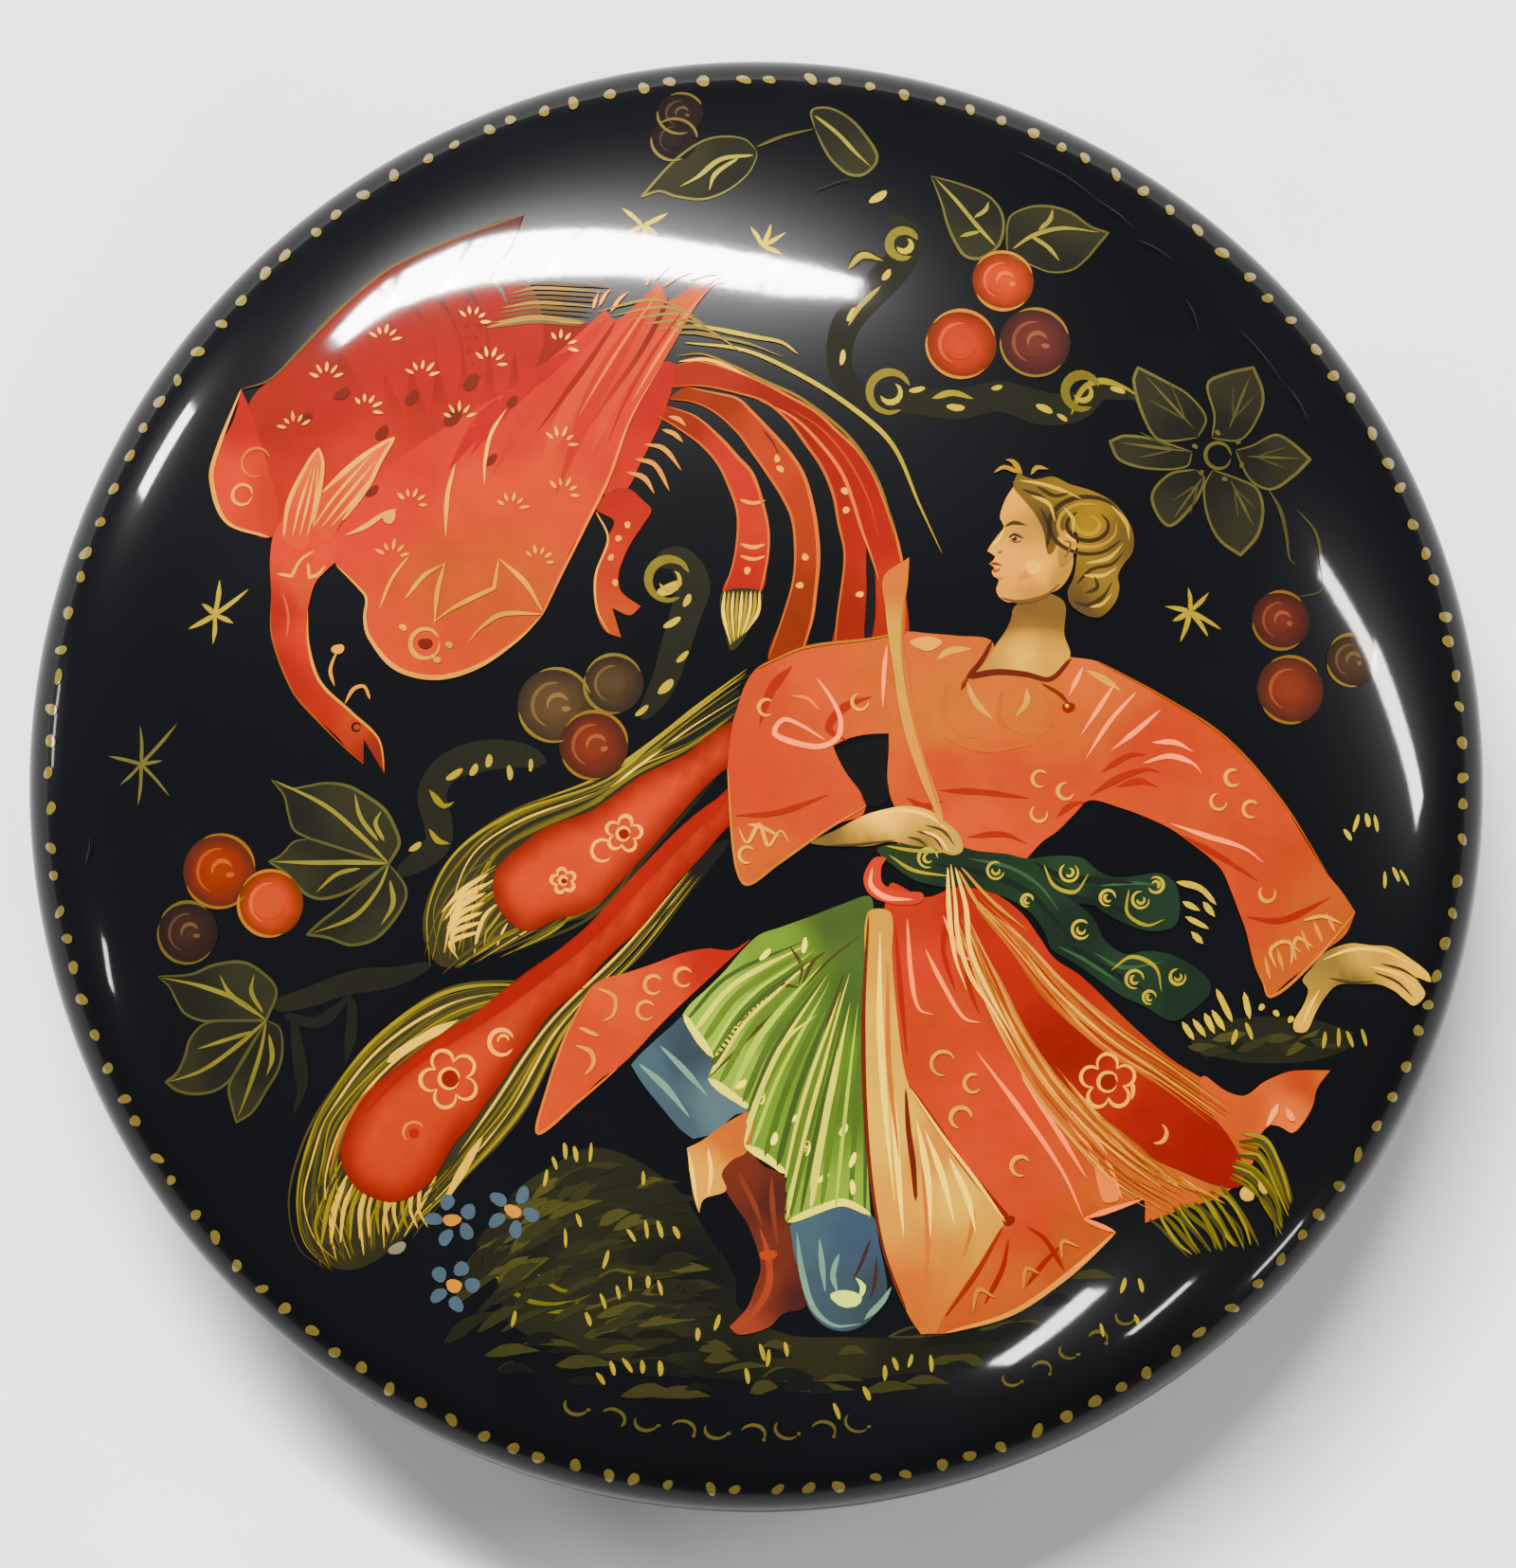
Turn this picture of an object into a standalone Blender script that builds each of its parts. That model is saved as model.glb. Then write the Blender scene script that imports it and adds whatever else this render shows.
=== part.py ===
"""A round, domed brooch of lacquered papier-mache, with a bar pin across its back.

The brooch lies face up, as on a table. The origin is the point of the table under the centre of the
disc, +Z points up out of the painted face, and the bar pin runs along X: its hinge is at -X and its
safety catch at +X. The safety catch is at rest in its open position, with the pin stem lying in it.
"""

import math

import bmesh
import bpy
from mathutils import Matrix, Vector

MM = 0.001

# The disc. Its face is half an ellipse, so it is nearly flat in the middle and steep at the rim.
DISC_RADIUS = 25.0 * MM
CROWN_HEIGHT = 5.7 * MM          # from the widest point of the rim up to the middle of the face
EDGE_DEPTH = 2.1 * MM            # from the widest point of the rim down to the back
EDGE_ROUND = 1.9 * MM            # how far the rounding under the rim reaches inwards
LACQUER = 0.4 * MM               # ground and lacquer coats together
FIT_GAP = 0.1 * MM               # between pieces that lie on each other
BACK_BAND = 18.5 * MM            # the bar pin lies inside this radius, where the back is sanded down
BACK_SEAT = 0.05 * MM            # how much it is sanded down there
DISC_SEGMENTS = 72
DOME_STEPS = 14
EDGE_STEPS = 5

# The bar pin. Heights are measured from the table.
WIRE_RADIUS = 0.45 * MM
PLATE_LENGTH = 34.0 * MM
PLATE_WIDTH = 5.0 * MM
PLATE_THICKNESS = 0.6 * MM
PLATE_CORNER = 1.8 * MM
DRUM_RADIUS = 1.75 * MM
DRUM_WALL = 0.4 * MM
MOUTH = 1.5 * MM                 # width of the drum's opening, away from the plate
PIN_HEIGHT = math.sqrt(DRUM_RADIUS**2 - (MOUTH / 2) ** 2)    # the drum's two lips touch the table
PLATE_BOTTOM = PIN_HEIGHT + 1.9 * MM
PLATE_TOP = PLATE_BOTTOM + PLATE_THICKNESS
BACK = PLATE_TOP + FIT_GAP
RIM = BACK + EDGE_DEPTH
CROWN = RIM + CROWN_HEIGHT

# The hinge, at the -X end.
HINGE_X = -14.0 * MM
EAR_HALF_GAP = 1.9 * MM
EAR_TOP_WIDTH = 4.4 * MM
EAR_FOOT_WIDTH = 1.6 * MM
EAR_WIDTH = 3.4 * MM
HINGE_RADIUS = 0.5 * MM
HINGE_CLEARANCE = 0.08 * MM
HINGE_HEAD_RADIUS = 0.9 * MM
HINGE_HEAD = 0.3 * MM
EYE_RADIUS = 1.3 * MM
EYE_HALF_WIDTH = 1.7 * MM

# The safety catch, at the +X end.
DRUM_START = 11.6 * MM
DRUM_END = 14.2 * MM
ROTOR_RADIUS = DRUM_RADIUS - DRUM_WALL - FIT_GAP
ROTOR_BORE = WIRE_RADIUS + 0.15 * MM
FLANGE_RADIUS = 1.5 * MM
INNER_FLANGE = 0.3 * MM
OUTER_FLANGE = 0.7 * MM
FLANGE_GAP = 0.2 * MM
LEVER_REACH = 3.7 * MM
LEVER_WIDTH = 1.0 * MM
LEVER_DROP = math.radians(15)    # how far the lever slopes down from level
FOOT_HALF_WIDTH = 1.3 * MM
PIN_TIP_X = 17.2 * MM
PIN_POINT = 1.8 * MM             # length of the sharpened point
PIN_TIP_RADIUS = 0.06 * MM

# The two rivets that hold the plate to the disc.
RIVET_X = 8.0 * MM
RIVET_RADIUS = 0.6 * MM
RIVET_HEAD_RADIUS = 1.15 * MM
RIVET_HEAD = 0.45 * MM
RIVET_DEPTH = 2.4 * MM           # how deep the shank goes into the disc
SEAT_GAP = 0.05 * MM             # between metal pieces that are soldered or riveted together

ROUND_SEGMENTS = 32


def clear_scene():
    for old in list(bpy.data.objects):
        bpy.data.objects.remove(old)


def material(name, colour, roughness, metallic=0.0):
    made = bpy.data.materials.new(name)
    made.use_nodes = True
    shader = made.node_tree.nodes["Principled BSDF"]
    shader.inputs["Base Color"].default_value = (*colour, 1.0)
    shader.inputs["Roughness"].default_value = roughness
    shader.inputs["Metallic"].default_value = metallic
    made.diffuse_color = (*colour, 1.0)
    return made


def add_object(name, bm, finish=None, location=(0.0, 0.0, 0.0)):
    """Links the bmesh as an object, with outward faces and smooth rounds. No finish means a cutter."""
    bmesh.ops.recalc_face_normals(bm, faces=bm.faces)
    mesh = bpy.data.meshes.new(name)
    bm.to_mesh(mesh)
    bm.free()
    made = bpy.data.objects.new(name, mesh)
    made.location = location
    bpy.context.scene.collection.objects.link(made)
    if finish is None:
        made.hide_render = True
        made.display_type = "WIRE"
    else:
        mesh.materials.append(finish)
        mesh.shade_smooth()
        mesh.set_sharp_from_angle(angle=math.radians(35))
    return made


def turned(profile, segments, axis="Z"):
    """A solid turned about an axis from (radius, height) points that start and end on that axis."""
    bm = bmesh.new()
    points = [bm.verts.new((radius, 0.0, height)) for radius, height in profile]
    edges = [bm.edges.new(pair) for pair in zip(points, points[1:])]
    bmesh.ops.spin(bm, geom=points + edges, cent=(0, 0, 0), axis=(0, 0, 1),
                   angle=math.tau, steps=segments)
    bmesh.ops.remove_doubles(bm, verts=bm.verts, dist=0.001 * MM)
    if axis == "X":
        bm.transform(Matrix.Rotation(math.radians(90), 4, "Y"))
    elif axis == "Y":
        bm.transform(Matrix.Rotation(math.radians(-90), 4, "X"))
    return bm


def rod(radius, start, end, axis="Z"):
    """A plain cylinder from start to end along an axis through the object's origin."""
    profile = [(0.0, start), (radius, start), (radius, end), (0.0, end)]
    return turned(profile, ROUND_SEGMENTS, axis)


def block(low, high):
    bm = bmesh.new()
    size = Vector(high) - Vector(low)
    centre = (Vector(high) + Vector(low)) / 2
    bmesh.ops.create_cube(bm, size=1.0, matrix=Matrix.Translation(centre) @ Matrix.Diagonal((*size, 1.0)))
    return bm


def prism(outline, direction):
    """The flat outline, a list of 3-D points, pushed along a direction."""
    bm = bmesh.new()
    face = bm.faces.new([bm.verts.new(point) for point in outline])
    pushed = bmesh.ops.extrude_face_region(bm, geom=[face])["geom"]
    moved = [part for part in pushed if isinstance(part, bmesh.types.BMVert)]
    bmesh.ops.translate(bm, verts=moved, vec=direction)
    return bm


def arc(centre, radius, start_deg, end_deg, steps):
    """Points on a circle, as (across, up) pairs."""
    angles = [math.radians(start_deg + (end_deg - start_deg) * i / steps) for i in range(steps + 1)]
    return [(centre[0] + radius * math.cos(a), centre[1] + radius * math.sin(a)) for a in angles]


def combine(target, tool, operation):
    """Cuts the tool from the target, or joins it on, and leaves the tool as a hidden helper."""
    tool.hide_render = True
    tool.display_type = "WIRE"
    step = target.modifiers.new(operation.title() + " " + tool.name, "BOOLEAN")
    step.operation = operation
    step.solver = "EXACT"
    step.object = tool


def disc_profile(inset):
    """Crown to back edge of the disc's surface, or of a surface lying inside it by the inset."""
    dome = []
    for i in range(DOME_STEPS + 1):
        turn = math.radians(90) * (1 - i / DOME_STEPS)
        dome.append(((DISC_RADIUS - inset) * math.cos(turn), RIM + (CROWN_HEIGHT - inset) * math.sin(turn)))
    dome[0] = (0.0, dome[0][1])
    edge = []
    for i in range(1, EDGE_STEPS + 1):
        turn = math.radians(90) * i / EDGE_STEPS
        across = DISC_RADIUS - EDGE_ROUND + (EDGE_ROUND - inset) * math.cos(turn)
        edge.append((across, RIM - (EDGE_DEPTH - inset) * math.sin(turn)))
    return dome + edge


def rivet_hole(x, radius, low, high):
    return add_object("rivet_hole_cutter", rod(radius, low, high), location=(x, 0.0, 0.0))


def make_disc(papier_mache, black_lacquer, back_lacquer):
    """The pressed core, the lacquer shell over its face and rim, and the lacquered back."""
    outer, inner = disc_profile(0.0), disc_profile(LACQUER)
    add_object("face_lacquer", turned(outer + inner[::-1], DISC_SEGMENTS), black_lacquer)

    core = disc_profile(LACQUER + FIT_GAP)
    core_bottom = core[-1][1]
    core_object = add_object("papier_mache_core", turned(core + [(0.0, core_bottom)], DISC_SEGMENTS),
                             papier_mache)
    back_radius = DISC_RADIUS - EDGE_ROUND - FIT_GAP
    seat = BACK + BACK_SEAT
    back_profile = [(0.0, seat), (BACK_BAND, seat), (BACK_BAND, BACK), (back_radius, BACK),
                    (back_radius, BACK + LACQUER), (0.0, BACK + LACQUER)]
    back_object = add_object("back_lacquer", turned(back_profile, DISC_SEGMENTS), back_lacquer)
    for x in (-RIVET_X, RIVET_X):
        hole = rivet_hole(x, RIVET_RADIUS + FIT_GAP, BACK - 1 * MM, BACK + RIVET_DEPTH + 2 * FIT_GAP)
        combine(core_object, hole, "DIFFERENCE")
        combine(back_object, hole, "DIFFERENCE")


def plate_outline():
    """A long plate with rounded corners, seen from above."""
    x, y, r = PLATE_LENGTH / 2, PLATE_WIDTH / 2, PLATE_CORNER
    corners = [((x - r, y - r), 0), ((r - x, y - r), 90), ((r - x, r - y), 180), ((x - r, r - y), 270)]
    return [p for centre, start in corners for p in arc(centre, r, start, start + 90, 8)]


def ear_outline():
    """A hinge ear from the side, as (x, z) points: it narrows to a rounded foot on the table."""
    waist = PIN_HEIGHT
    foot = EAR_FOOT_WIDTH / 2
    round_radius = EAR_WIDTH / 2 - foot
    right = [(EAR_TOP_WIDTH / 2, PLATE_BOTTOM + PLATE_THICKNESS / 2), (EAR_TOP_WIDTH / 2, PLATE_BOTTOM),
             (EAR_WIDTH / 2, waist)]
    right += arc((foot, round_radius), round_radius, 0, -90, 6)
    return [(HINGE_X + x, z) for x, z in right] + [(HINGE_X - x, z) for x, z in reversed(right)]


def make_base_plate(brass):
    """One stamping: the plate, with the two hinge ears folded down from it."""
    outline = [(x, y, PLATE_BOTTOM) for x, y in plate_outline()]
    plate = add_object("base_plate", prism(outline, (0.0, 0.0, PLATE_THICKNESS)), brass)
    for side in (-1, 1):
        start = EAR_HALF_GAP if side > 0 else -EAR_HALF_GAP - PLATE_THICKNESS
        ear = [(x, start, z) for x, z in ear_outline()]
        combine(plate, add_object("ear_tool", prism(ear, (0.0, PLATE_THICKNESS, 0.0))), "UNION")
    bore = rod(HINGE_RADIUS + HINGE_CLEARANCE, -PLATE_WIDTH, PLATE_WIDTH, "Y")
    combine(plate, add_object("ear_bore_cutter", bore, location=(HINGE_X, 0.0, PIN_HEIGHT)), "DIFFERENCE")
    for x in (-RIVET_X, RIVET_X):
        hole = rivet_hole(x, RIVET_RADIUS + FIT_GAP, PLATE_BOTTOM - 1 * MM, PLATE_TOP + 1 * MM)
        combine(plate, hole, "DIFFERENCE")


def make_plate_rivets(brass):
    """A button head under the plate and a shank that goes up into the disc."""
    head_top = PLATE_BOTTOM - SEAT_GAP
    shank_top = BACK + RIVET_DEPTH
    head = [(RIVET_HEAD_RADIUS * math.sin(math.radians(a)),
             head_top - RIVET_HEAD * math.cos(math.radians(a))) for a in range(0, 91, 15)]
    head[0] = (0.0, head[0][1])
    profile = head + [(RIVET_RADIUS, head_top), (RIVET_RADIUS, shank_top), (0.0, shank_top)]
    for name, x in (("rivet_hinge_side", -RIVET_X), ("rivet_catch_side", RIVET_X)):
        add_object(name, turned(profile, ROUND_SEGMENTS), brass, (x, 0.0, 0.0))


def make_hinge_pin(steel):
    """The cross pin through both ears, headed at both ends."""
    reach = EAR_HALF_GAP + PLATE_THICKNESS + SEAT_GAP
    end = reach + HINGE_HEAD
    profile = [(0.0, -end), (HINGE_HEAD_RADIUS * 0.8, -end), (HINGE_HEAD_RADIUS, -reach - HINGE_HEAD / 2),
               (HINGE_HEAD_RADIUS, -reach), (HINGE_RADIUS, -reach)]
    profile += [(radius, -height) for radius, height in reversed(profile)]
    add_object("hinge_pin", turned(profile, ROUND_SEGMENTS, "Y"), steel, (HINGE_X, 0.0, PIN_HEIGHT))


def make_pin_stem(steel):
    """The sharpened wire, with the eye that turns on the hinge pin. Its origin is on the hinge axis."""
    place = (HINGE_X, 0.0, PIN_HEIGHT)
    reach = PIN_TIP_X - HINGE_X
    wire_start = (HINGE_RADIUS + EYE_RADIUS) / 2 + 0.1 * MM
    wire = [(0.0, wire_start), (WIRE_RADIUS, wire_start), (WIRE_RADIUS, reach - PIN_POINT),
            (WIRE_RADIUS * 0.72, reach - PIN_POINT / 2), (PIN_TIP_RADIUS, reach), (0.0, reach)]
    eye = rod(EYE_RADIUS, -EYE_HALF_WIDTH, EYE_HALF_WIDTH, "Y")
    stem = add_object("pin_stem", eye, steel, place)
    combine(stem, add_object("wire_tool", turned(wire, 20, "X"), location=place), "UNION")
    bore = rod(HINGE_RADIUS + HINGE_CLEARANCE, -PLATE_WIDTH, PLATE_WIDTH, "Y")
    combine(stem, add_object("eye_bore_cutter", bore, location=place), "DIFFERENCE")


def make_catch_housing(brass):
    """A drum on a foot under the plate, open away from the plate so that the wire can swing out."""
    place = (0.0, 0.0, PIN_HEIGHT)
    housing = add_object("catch_housing", rod(DRUM_RADIUS, DRUM_START, DRUM_END, "X"), brass, place)
    foot = block((DRUM_START, -FOOT_HALF_WIDTH, DRUM_RADIUS * 0.5),
                 (DRUM_END, FOOT_HALF_WIDTH, PLATE_BOTTOM - PIN_HEIGHT - SEAT_GAP))
    combine(housing, add_object("foot_tool", foot, location=place), "UNION")
    bore = rod(DRUM_RADIUS - DRUM_WALL, DRUM_START - 1 * MM, DRUM_END + 1 * MM, "X")
    combine(housing, add_object("drum_bore_cutter", bore, location=place), "DIFFERENCE")
    mouth = block((DRUM_START - 1 * MM, -MOUTH / 2, -2 * DRUM_RADIUS), (DRUM_END + 1 * MM, MOUTH / 2, 0.0))
    combine(housing, add_object("mouth_cutter", mouth, location=place), "DIFFERENCE")


def make_catch_rotor(brass):
    """The slotted rotor that turns in the drum, with flanges that keep it there and a finger lever."""
    place = (0.0, 0.0, PIN_HEIGHT)
    inner = DRUM_START - FLANGE_GAP
    outer = DRUM_END + FLANGE_GAP
    end = outer + OUTER_FLANGE
    profile = [(0.0, inner - INNER_FLANGE), (FLANGE_RADIUS, inner - INNER_FLANGE), (FLANGE_RADIUS, inner),
               (ROTOR_RADIUS, inner), (ROTOR_RADIUS, outer), (FLANGE_RADIUS, outer), (FLANGE_RADIUS, end),
               (0.0, end)]
    rotor = add_object("catch_rotor", turned(profile, ROUND_SEGMENTS, "X"), brass, place)
    tip = arc((LEVER_REACH - LEVER_WIDTH / 2, 0.0), LEVER_WIDTH / 2, -90, 90, 8)
    lever = [(outer, y, z) for y, z in [(ROTOR_RADIUS, -LEVER_WIDTH / 2), *tip, (ROTOR_RADIUS, LEVER_WIDTH / 2)]]
    lever_tool = add_object("lever_tool", prism(lever, (OUTER_FLANGE, 0.0, 0.0)), location=place)
    lever_tool.rotation_euler.x = -LEVER_DROP
    combine(rotor, lever_tool, "UNION")
    bore = rod(ROTOR_BORE, inner - 2 * MM, end + 2 * MM, "X")
    combine(rotor, add_object("rotor_bore_cutter", bore, location=place), "DIFFERENCE")
    slot = block((inner - 2 * MM, -ROTOR_BORE, -2 * DRUM_RADIUS), (end + 2 * MM, ROTOR_BORE, 0.0))
    combine(rotor, add_object("slot_cutter", slot, location=place), "DIFFERENCE")


def main():
    clear_scene()
    papier_mache = material("papier_mache", (0.33, 0.24, 0.15), 0.85)
    black_lacquer = material("black_lacquer", (0.008, 0.008, 0.010), 0.08)
    back_lacquer = material("back_lacquer", (0.010, 0.009, 0.010), 0.15)
    brass = material("brass", (0.80, 0.62, 0.30), 0.28, 1.0)
    steel = material("nickelled_steel", (0.72, 0.70, 0.66), 0.22, 1.0)
    make_disc(papier_mache, black_lacquer, back_lacquer)
    make_base_plate(brass)
    make_plate_rivets(brass)
    make_hinge_pin(steel)
    make_pin_stem(steel)
    make_catch_housing(brass)
    make_catch_rotor(brass)


main()
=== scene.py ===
import math
import random

import bpy
import numpy as np
from mathutils import Matrix, Vector
from mathutils.geometry import delaunay_2d_cdt


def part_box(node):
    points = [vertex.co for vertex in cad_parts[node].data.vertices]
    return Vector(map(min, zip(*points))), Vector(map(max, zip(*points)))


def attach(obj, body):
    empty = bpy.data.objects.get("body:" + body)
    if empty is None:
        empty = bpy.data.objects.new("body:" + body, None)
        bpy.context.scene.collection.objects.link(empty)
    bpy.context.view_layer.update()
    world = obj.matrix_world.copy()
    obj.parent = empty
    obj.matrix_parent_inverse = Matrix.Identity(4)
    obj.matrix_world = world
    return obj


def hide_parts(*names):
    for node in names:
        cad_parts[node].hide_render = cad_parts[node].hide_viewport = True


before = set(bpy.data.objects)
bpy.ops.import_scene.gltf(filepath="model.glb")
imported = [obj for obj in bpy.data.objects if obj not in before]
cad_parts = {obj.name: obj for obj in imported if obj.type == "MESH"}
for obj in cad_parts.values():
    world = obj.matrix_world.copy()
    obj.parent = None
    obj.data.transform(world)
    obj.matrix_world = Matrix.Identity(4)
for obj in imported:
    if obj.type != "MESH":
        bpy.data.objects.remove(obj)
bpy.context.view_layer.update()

MM = 0.001

# The disc, from the frame.
FACE_LOW, FACE_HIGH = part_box("face_lacquer")
RADIUS = FACE_HIGH[0] / MM
BACK = FACE_LOW[2] / MM
CROWN = FACE_HIGH[2] / MM
EDGE_DEPTH = 2.1                # from the widest point of the rim down to the back
EDGE_ROUND = 1.9                # how far the rounding under the rim reaches inwards
LACQUER = 0.4
WORN_EDGE = (23.2, 24.3)        # the polish wears dull between these radii
RIM = BACK + EDGE_DEPTH
HEIGHT = CROWN - RIM
SHELL_SEGMENTS = 384
DOME_STEPS = 96
EDGE_STEPS = 24

# Paint lies in thin layers, so that later strokes cover earlier ones.
FIRST_LIFT = 0.010
LAYER_STEP = 0.008
NUDGE = 0.0012                  # between strokes of one group, which may cross
NUDGES = 6
OUTLINE_STEP = 0.16
GRID_STEP = 0.45
PAINT_REACH = RADIUS - 0.05
RIM_DOTS = 134
RIM_DOT_RING = 24.1

# How bright a white surface on the disc is in the studio, which the paints are mixed for, and the sky.
LIGHT_LEVEL = 3.3
SKY_LEVEL = 0.16

RNG = random.Random(41)


# ---- Colour ------------------------------------------------------------------------------------

# Blender's default view is AgX. These are its published matrices and the published polynomial that
# stands in for its contrast curve, so the view can be undone to mix a paint.
INSET = np.array([[0.8566, 0.0951, 0.0483], [0.1373, 0.7612, 0.1014], [0.1119, 0.0768, 0.8113]])
OUTSET = np.array([[1.1271, -0.1106, -0.0165], [-0.1413, 1.1578, -0.0165], [-0.1413, -0.1106, 1.2519]])
TONE_POWER = 2.2
WIDE_GAMUT = np.array([[0.6274, 0.3293, 0.0433], [0.0691, 0.9195, 0.0113], [0.0164, 0.0880, 0.8956]])
DARKEST_STOP = -12.474
BRIGHTEST_STOP = 4.026
TONE_X = np.linspace(0.0, 1.0, 2001)
TONE_Y = np.polyval([15.5, -40.14, 31.96, -6.868, 0.4298, 0.1191, -0.00232], TONE_X)
HUE_WEIGHT = 30.0
WARMER = (1.0, 0.94, 0.90)      # golds and olives turn greenish in the cool sky light
YELLOWER = 0.125                # the green that a red needs per level that it leads, chosen
HAZE = 0.002                    # what the polish reflects everywhere
PIGMENTS = {}


def developed(colours):
    """The 8-bit colours Blender's default view makes of linear ones."""
    stops = np.log2(np.maximum(colours @ WIDE_GAMUT.T @ INSET.T, 1e-6))
    toned = np.interp((stops - DARKEST_STOP) / (BRIGHTEST_STOP - DARKEST_STOP), TONE_X, TONE_Y)
    linear = np.maximum(np.maximum(toned @ OUTSET.T, 0) ** TONE_POWER @ np.linalg.inv(WIDE_GAMUT).T, 0)
    return 255 * np.where(linear < 0.0031308, 12.92 * linear, 1.055 * linear ** (1 / 2.4) - 0.055)


def hue(colours):
    spread = colours.max(axis=1) - colours.min(axis=1) + 20
    return np.stack([colours[:, 0] - colours[:, 1], colours[:, 1] - colours[:, 2]], axis=1) / spread[:, None]


def pigment(seen):
    """The paint that looks most like this 8-bit colour in the studio light. The steps of Blender's
    default view are undone, and the closest match is picked from that paint and others around it."""
    if seen not in PIGMENTS:
        wanted = np.array(seen) + [0, YELLOWER * max(0, seen[0] - seen[1]), 0]
        colour = wanted / 255
        if seen[0] >= seen[1] > seen[2] and seen[1] > 0.85 * seen[0]:
            colour = colour * WARMER
        colour = np.where(colour <= 0.04045, colour / 12.92, ((colour + 0.055) / 1.055) ** 2.4)
        colour = np.linalg.inv(OUTSET) @ (np.maximum(WIDE_GAMUT @ colour, 0) ** (1 / TONE_POWER))
        stops = np.interp(np.clip(colour, 0.0, 0.999), TONE_Y, TONE_X)
        colour = 2.0 ** (DARKEST_STOP + stops * (BRIGHTEST_STOP - DARKEST_STOP))
        colour = np.linalg.inv(WIDE_GAMUT) @ (np.linalg.inv(INSET) @ colour) - HAZE
        tries = [colour * 2.0 ** exposure + [0.0, green * colour[0], blue * colour[0]]
                 for exposure in np.linspace(-1.4, 0.2, 17) for green in np.linspace(-0.06, 0.12, 10)
                 for blue in (0, 0.01, 0.03)]
        tries = np.clip(np.array([colour] + tries) / LIGHT_LEVEL, 0.0, 0.93)
        reached = developed(tries * LIGHT_LEVEL + HAZE)
        miss = np.abs(reached - wanted).sum(axis=1)
        miss += HUE_WEIGHT * np.abs(hue(reached) - hue(wanted[None])).sum(axis=1)
        PIGMENTS[seen] = tuple(float(c) for c in tries[miss.argmin()])
    return PIGMENTS[seen]


def mixed(first, second, share):
    return tuple(a + (b - a) * share for a, b in zip(first, second))


def blended(first, second, share):
    """A mix of two 8-bit colours."""
    return tuple(int(c) for c in mixed(first, second, share))


# ---- Finishes ----------------------------------------------------------------------------------

def add_node(tree, kind, inputs=None, **settings):
    made = tree.nodes.new(kind)
    for key, value in settings.items():
        setattr(made, key, value)
    for key, value in (inputs or {}).items():
        if isinstance(value, bpy.types.NodeSocket):
            tree.links.new(value, made.inputs[key])
        else:
            made.inputs[key].default_value = value
    return made


def shader_of(material, **values):
    """Switches the material to nodes and sets its shader's even values."""
    material.use_nodes = True
    shader = material.node_tree.nodes["Principled BSDF"]
    for key, value in values.items():
        shader.inputs[key.replace("_", " ").title().replace("Ior", "IOR")].default_value = value
    return material.node_tree, shader


def place(tree):
    return add_node(tree, "ShaderNodeTexCoord").outputs["Object"]


def noise(tree, scale, detail=3.0, roughness=0.5, vector=None):
    return add_node(tree, "ShaderNodeTexNoise", {
        "Vector": vector or place(tree), "Scale": scale, "Detail": detail, "Roughness": roughness})


def ramp(tree, value, low, high, start=0.0, end=1.0):
    """A value from low to high as the input goes from start to end."""
    made = add_node(tree, "ShaderNodeMapRange", {"Value": value, "From Min": start, "From Max": end,
                                                 "To Min": low, "To Max": high})
    return made.outputs["Result"]


def two_tones(tree, value, dark, light, start=0.0, end=1.0):
    """A colour from dark to light as the input goes from start to end."""
    made = add_node(tree, "ShaderNodeValToRGB", {"Fac": value})
    for element, position, colour in zip(made.color_ramp.elements, (start, end), (dark, light)):
        element.position = position
        element.color = (*colour, 1)
    return made.outputs["Color"]


def rough_up(tree, socket, height, distance, strength=1.0):
    """Bumps a normal by a height of this many millimetres."""
    bump = add_node(tree, "ShaderNodeBump", {"Height": height, "Distance": distance * MM,
        "Strength": strength})
    tree.links.new(bump.outputs["Normal"], socket)


def polished_coat(tree, shader, roughness=0.045):
    """A thick polished lacquer: nearly a mirror, with a trace of unevenness from hand polishing."""
    shader.inputs["Coat Weight"].default_value = 1.0
    shader.inputs["Coat Roughness"].default_value = roughness
    shader.inputs["Coat IOR"].default_value = 1.5
    shader.inputs["Specular IOR Level"].default_value = 0.02
    swell = noise(tree, 260.0, 2.0)
    haze = noise(tree, 2600.0, 2.0)
    height = add_node(tree, "ShaderNodeMath", {0: haze.outputs["Fac"], 1: 0.08, 2: swell.outputs["Fac"]},
                      operation="MULTIPLY_ADD")
    rough_up(tree, shader.inputs["Coat Normal"], height.outputs[0], 0.01, 0.5)


def painted(name, metallic=0.0, roughness=0.5, depth=0.16):
    """Tempera or gold under the lacquer: the strokes' own colours, uneven as brushed paint is."""
    material = bpy.data.materials.new(name)
    tree, shader = shader_of(material, metallic=metallic, roughness=roughness)
    strokes = add_node(tree, "ShaderNodeAttribute", attribute_name="paint")
    streaks = noise(tree, 900.0, 5.0, 0.65)
    cloud = noise(tree, 170.0, 3.0)
    both = add_node(tree, "ShaderNodeMath", {0: streaks.outputs["Fac"], 1: cloud.outputs["Fac"]},
                    operation="ADD")
    shade = ramp(tree, both.outputs[0], 1.0 - depth, 1.0 + depth, 0.6, 1.4)
    # Inputs 0, 6 and 7 and output 2 are the factor, the two colours and their product.
    colour = add_node(tree, "ShaderNodeMix", {0: 1.0, 6: strokes.outputs["Color"], 7: shade},
                      data_type="RGBA", blend_type="MULTIPLY")
    tree.links.new(colour.outputs[2], shader.inputs["Base Color"])
    polished_coat(tree, shader)
    return material


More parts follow.
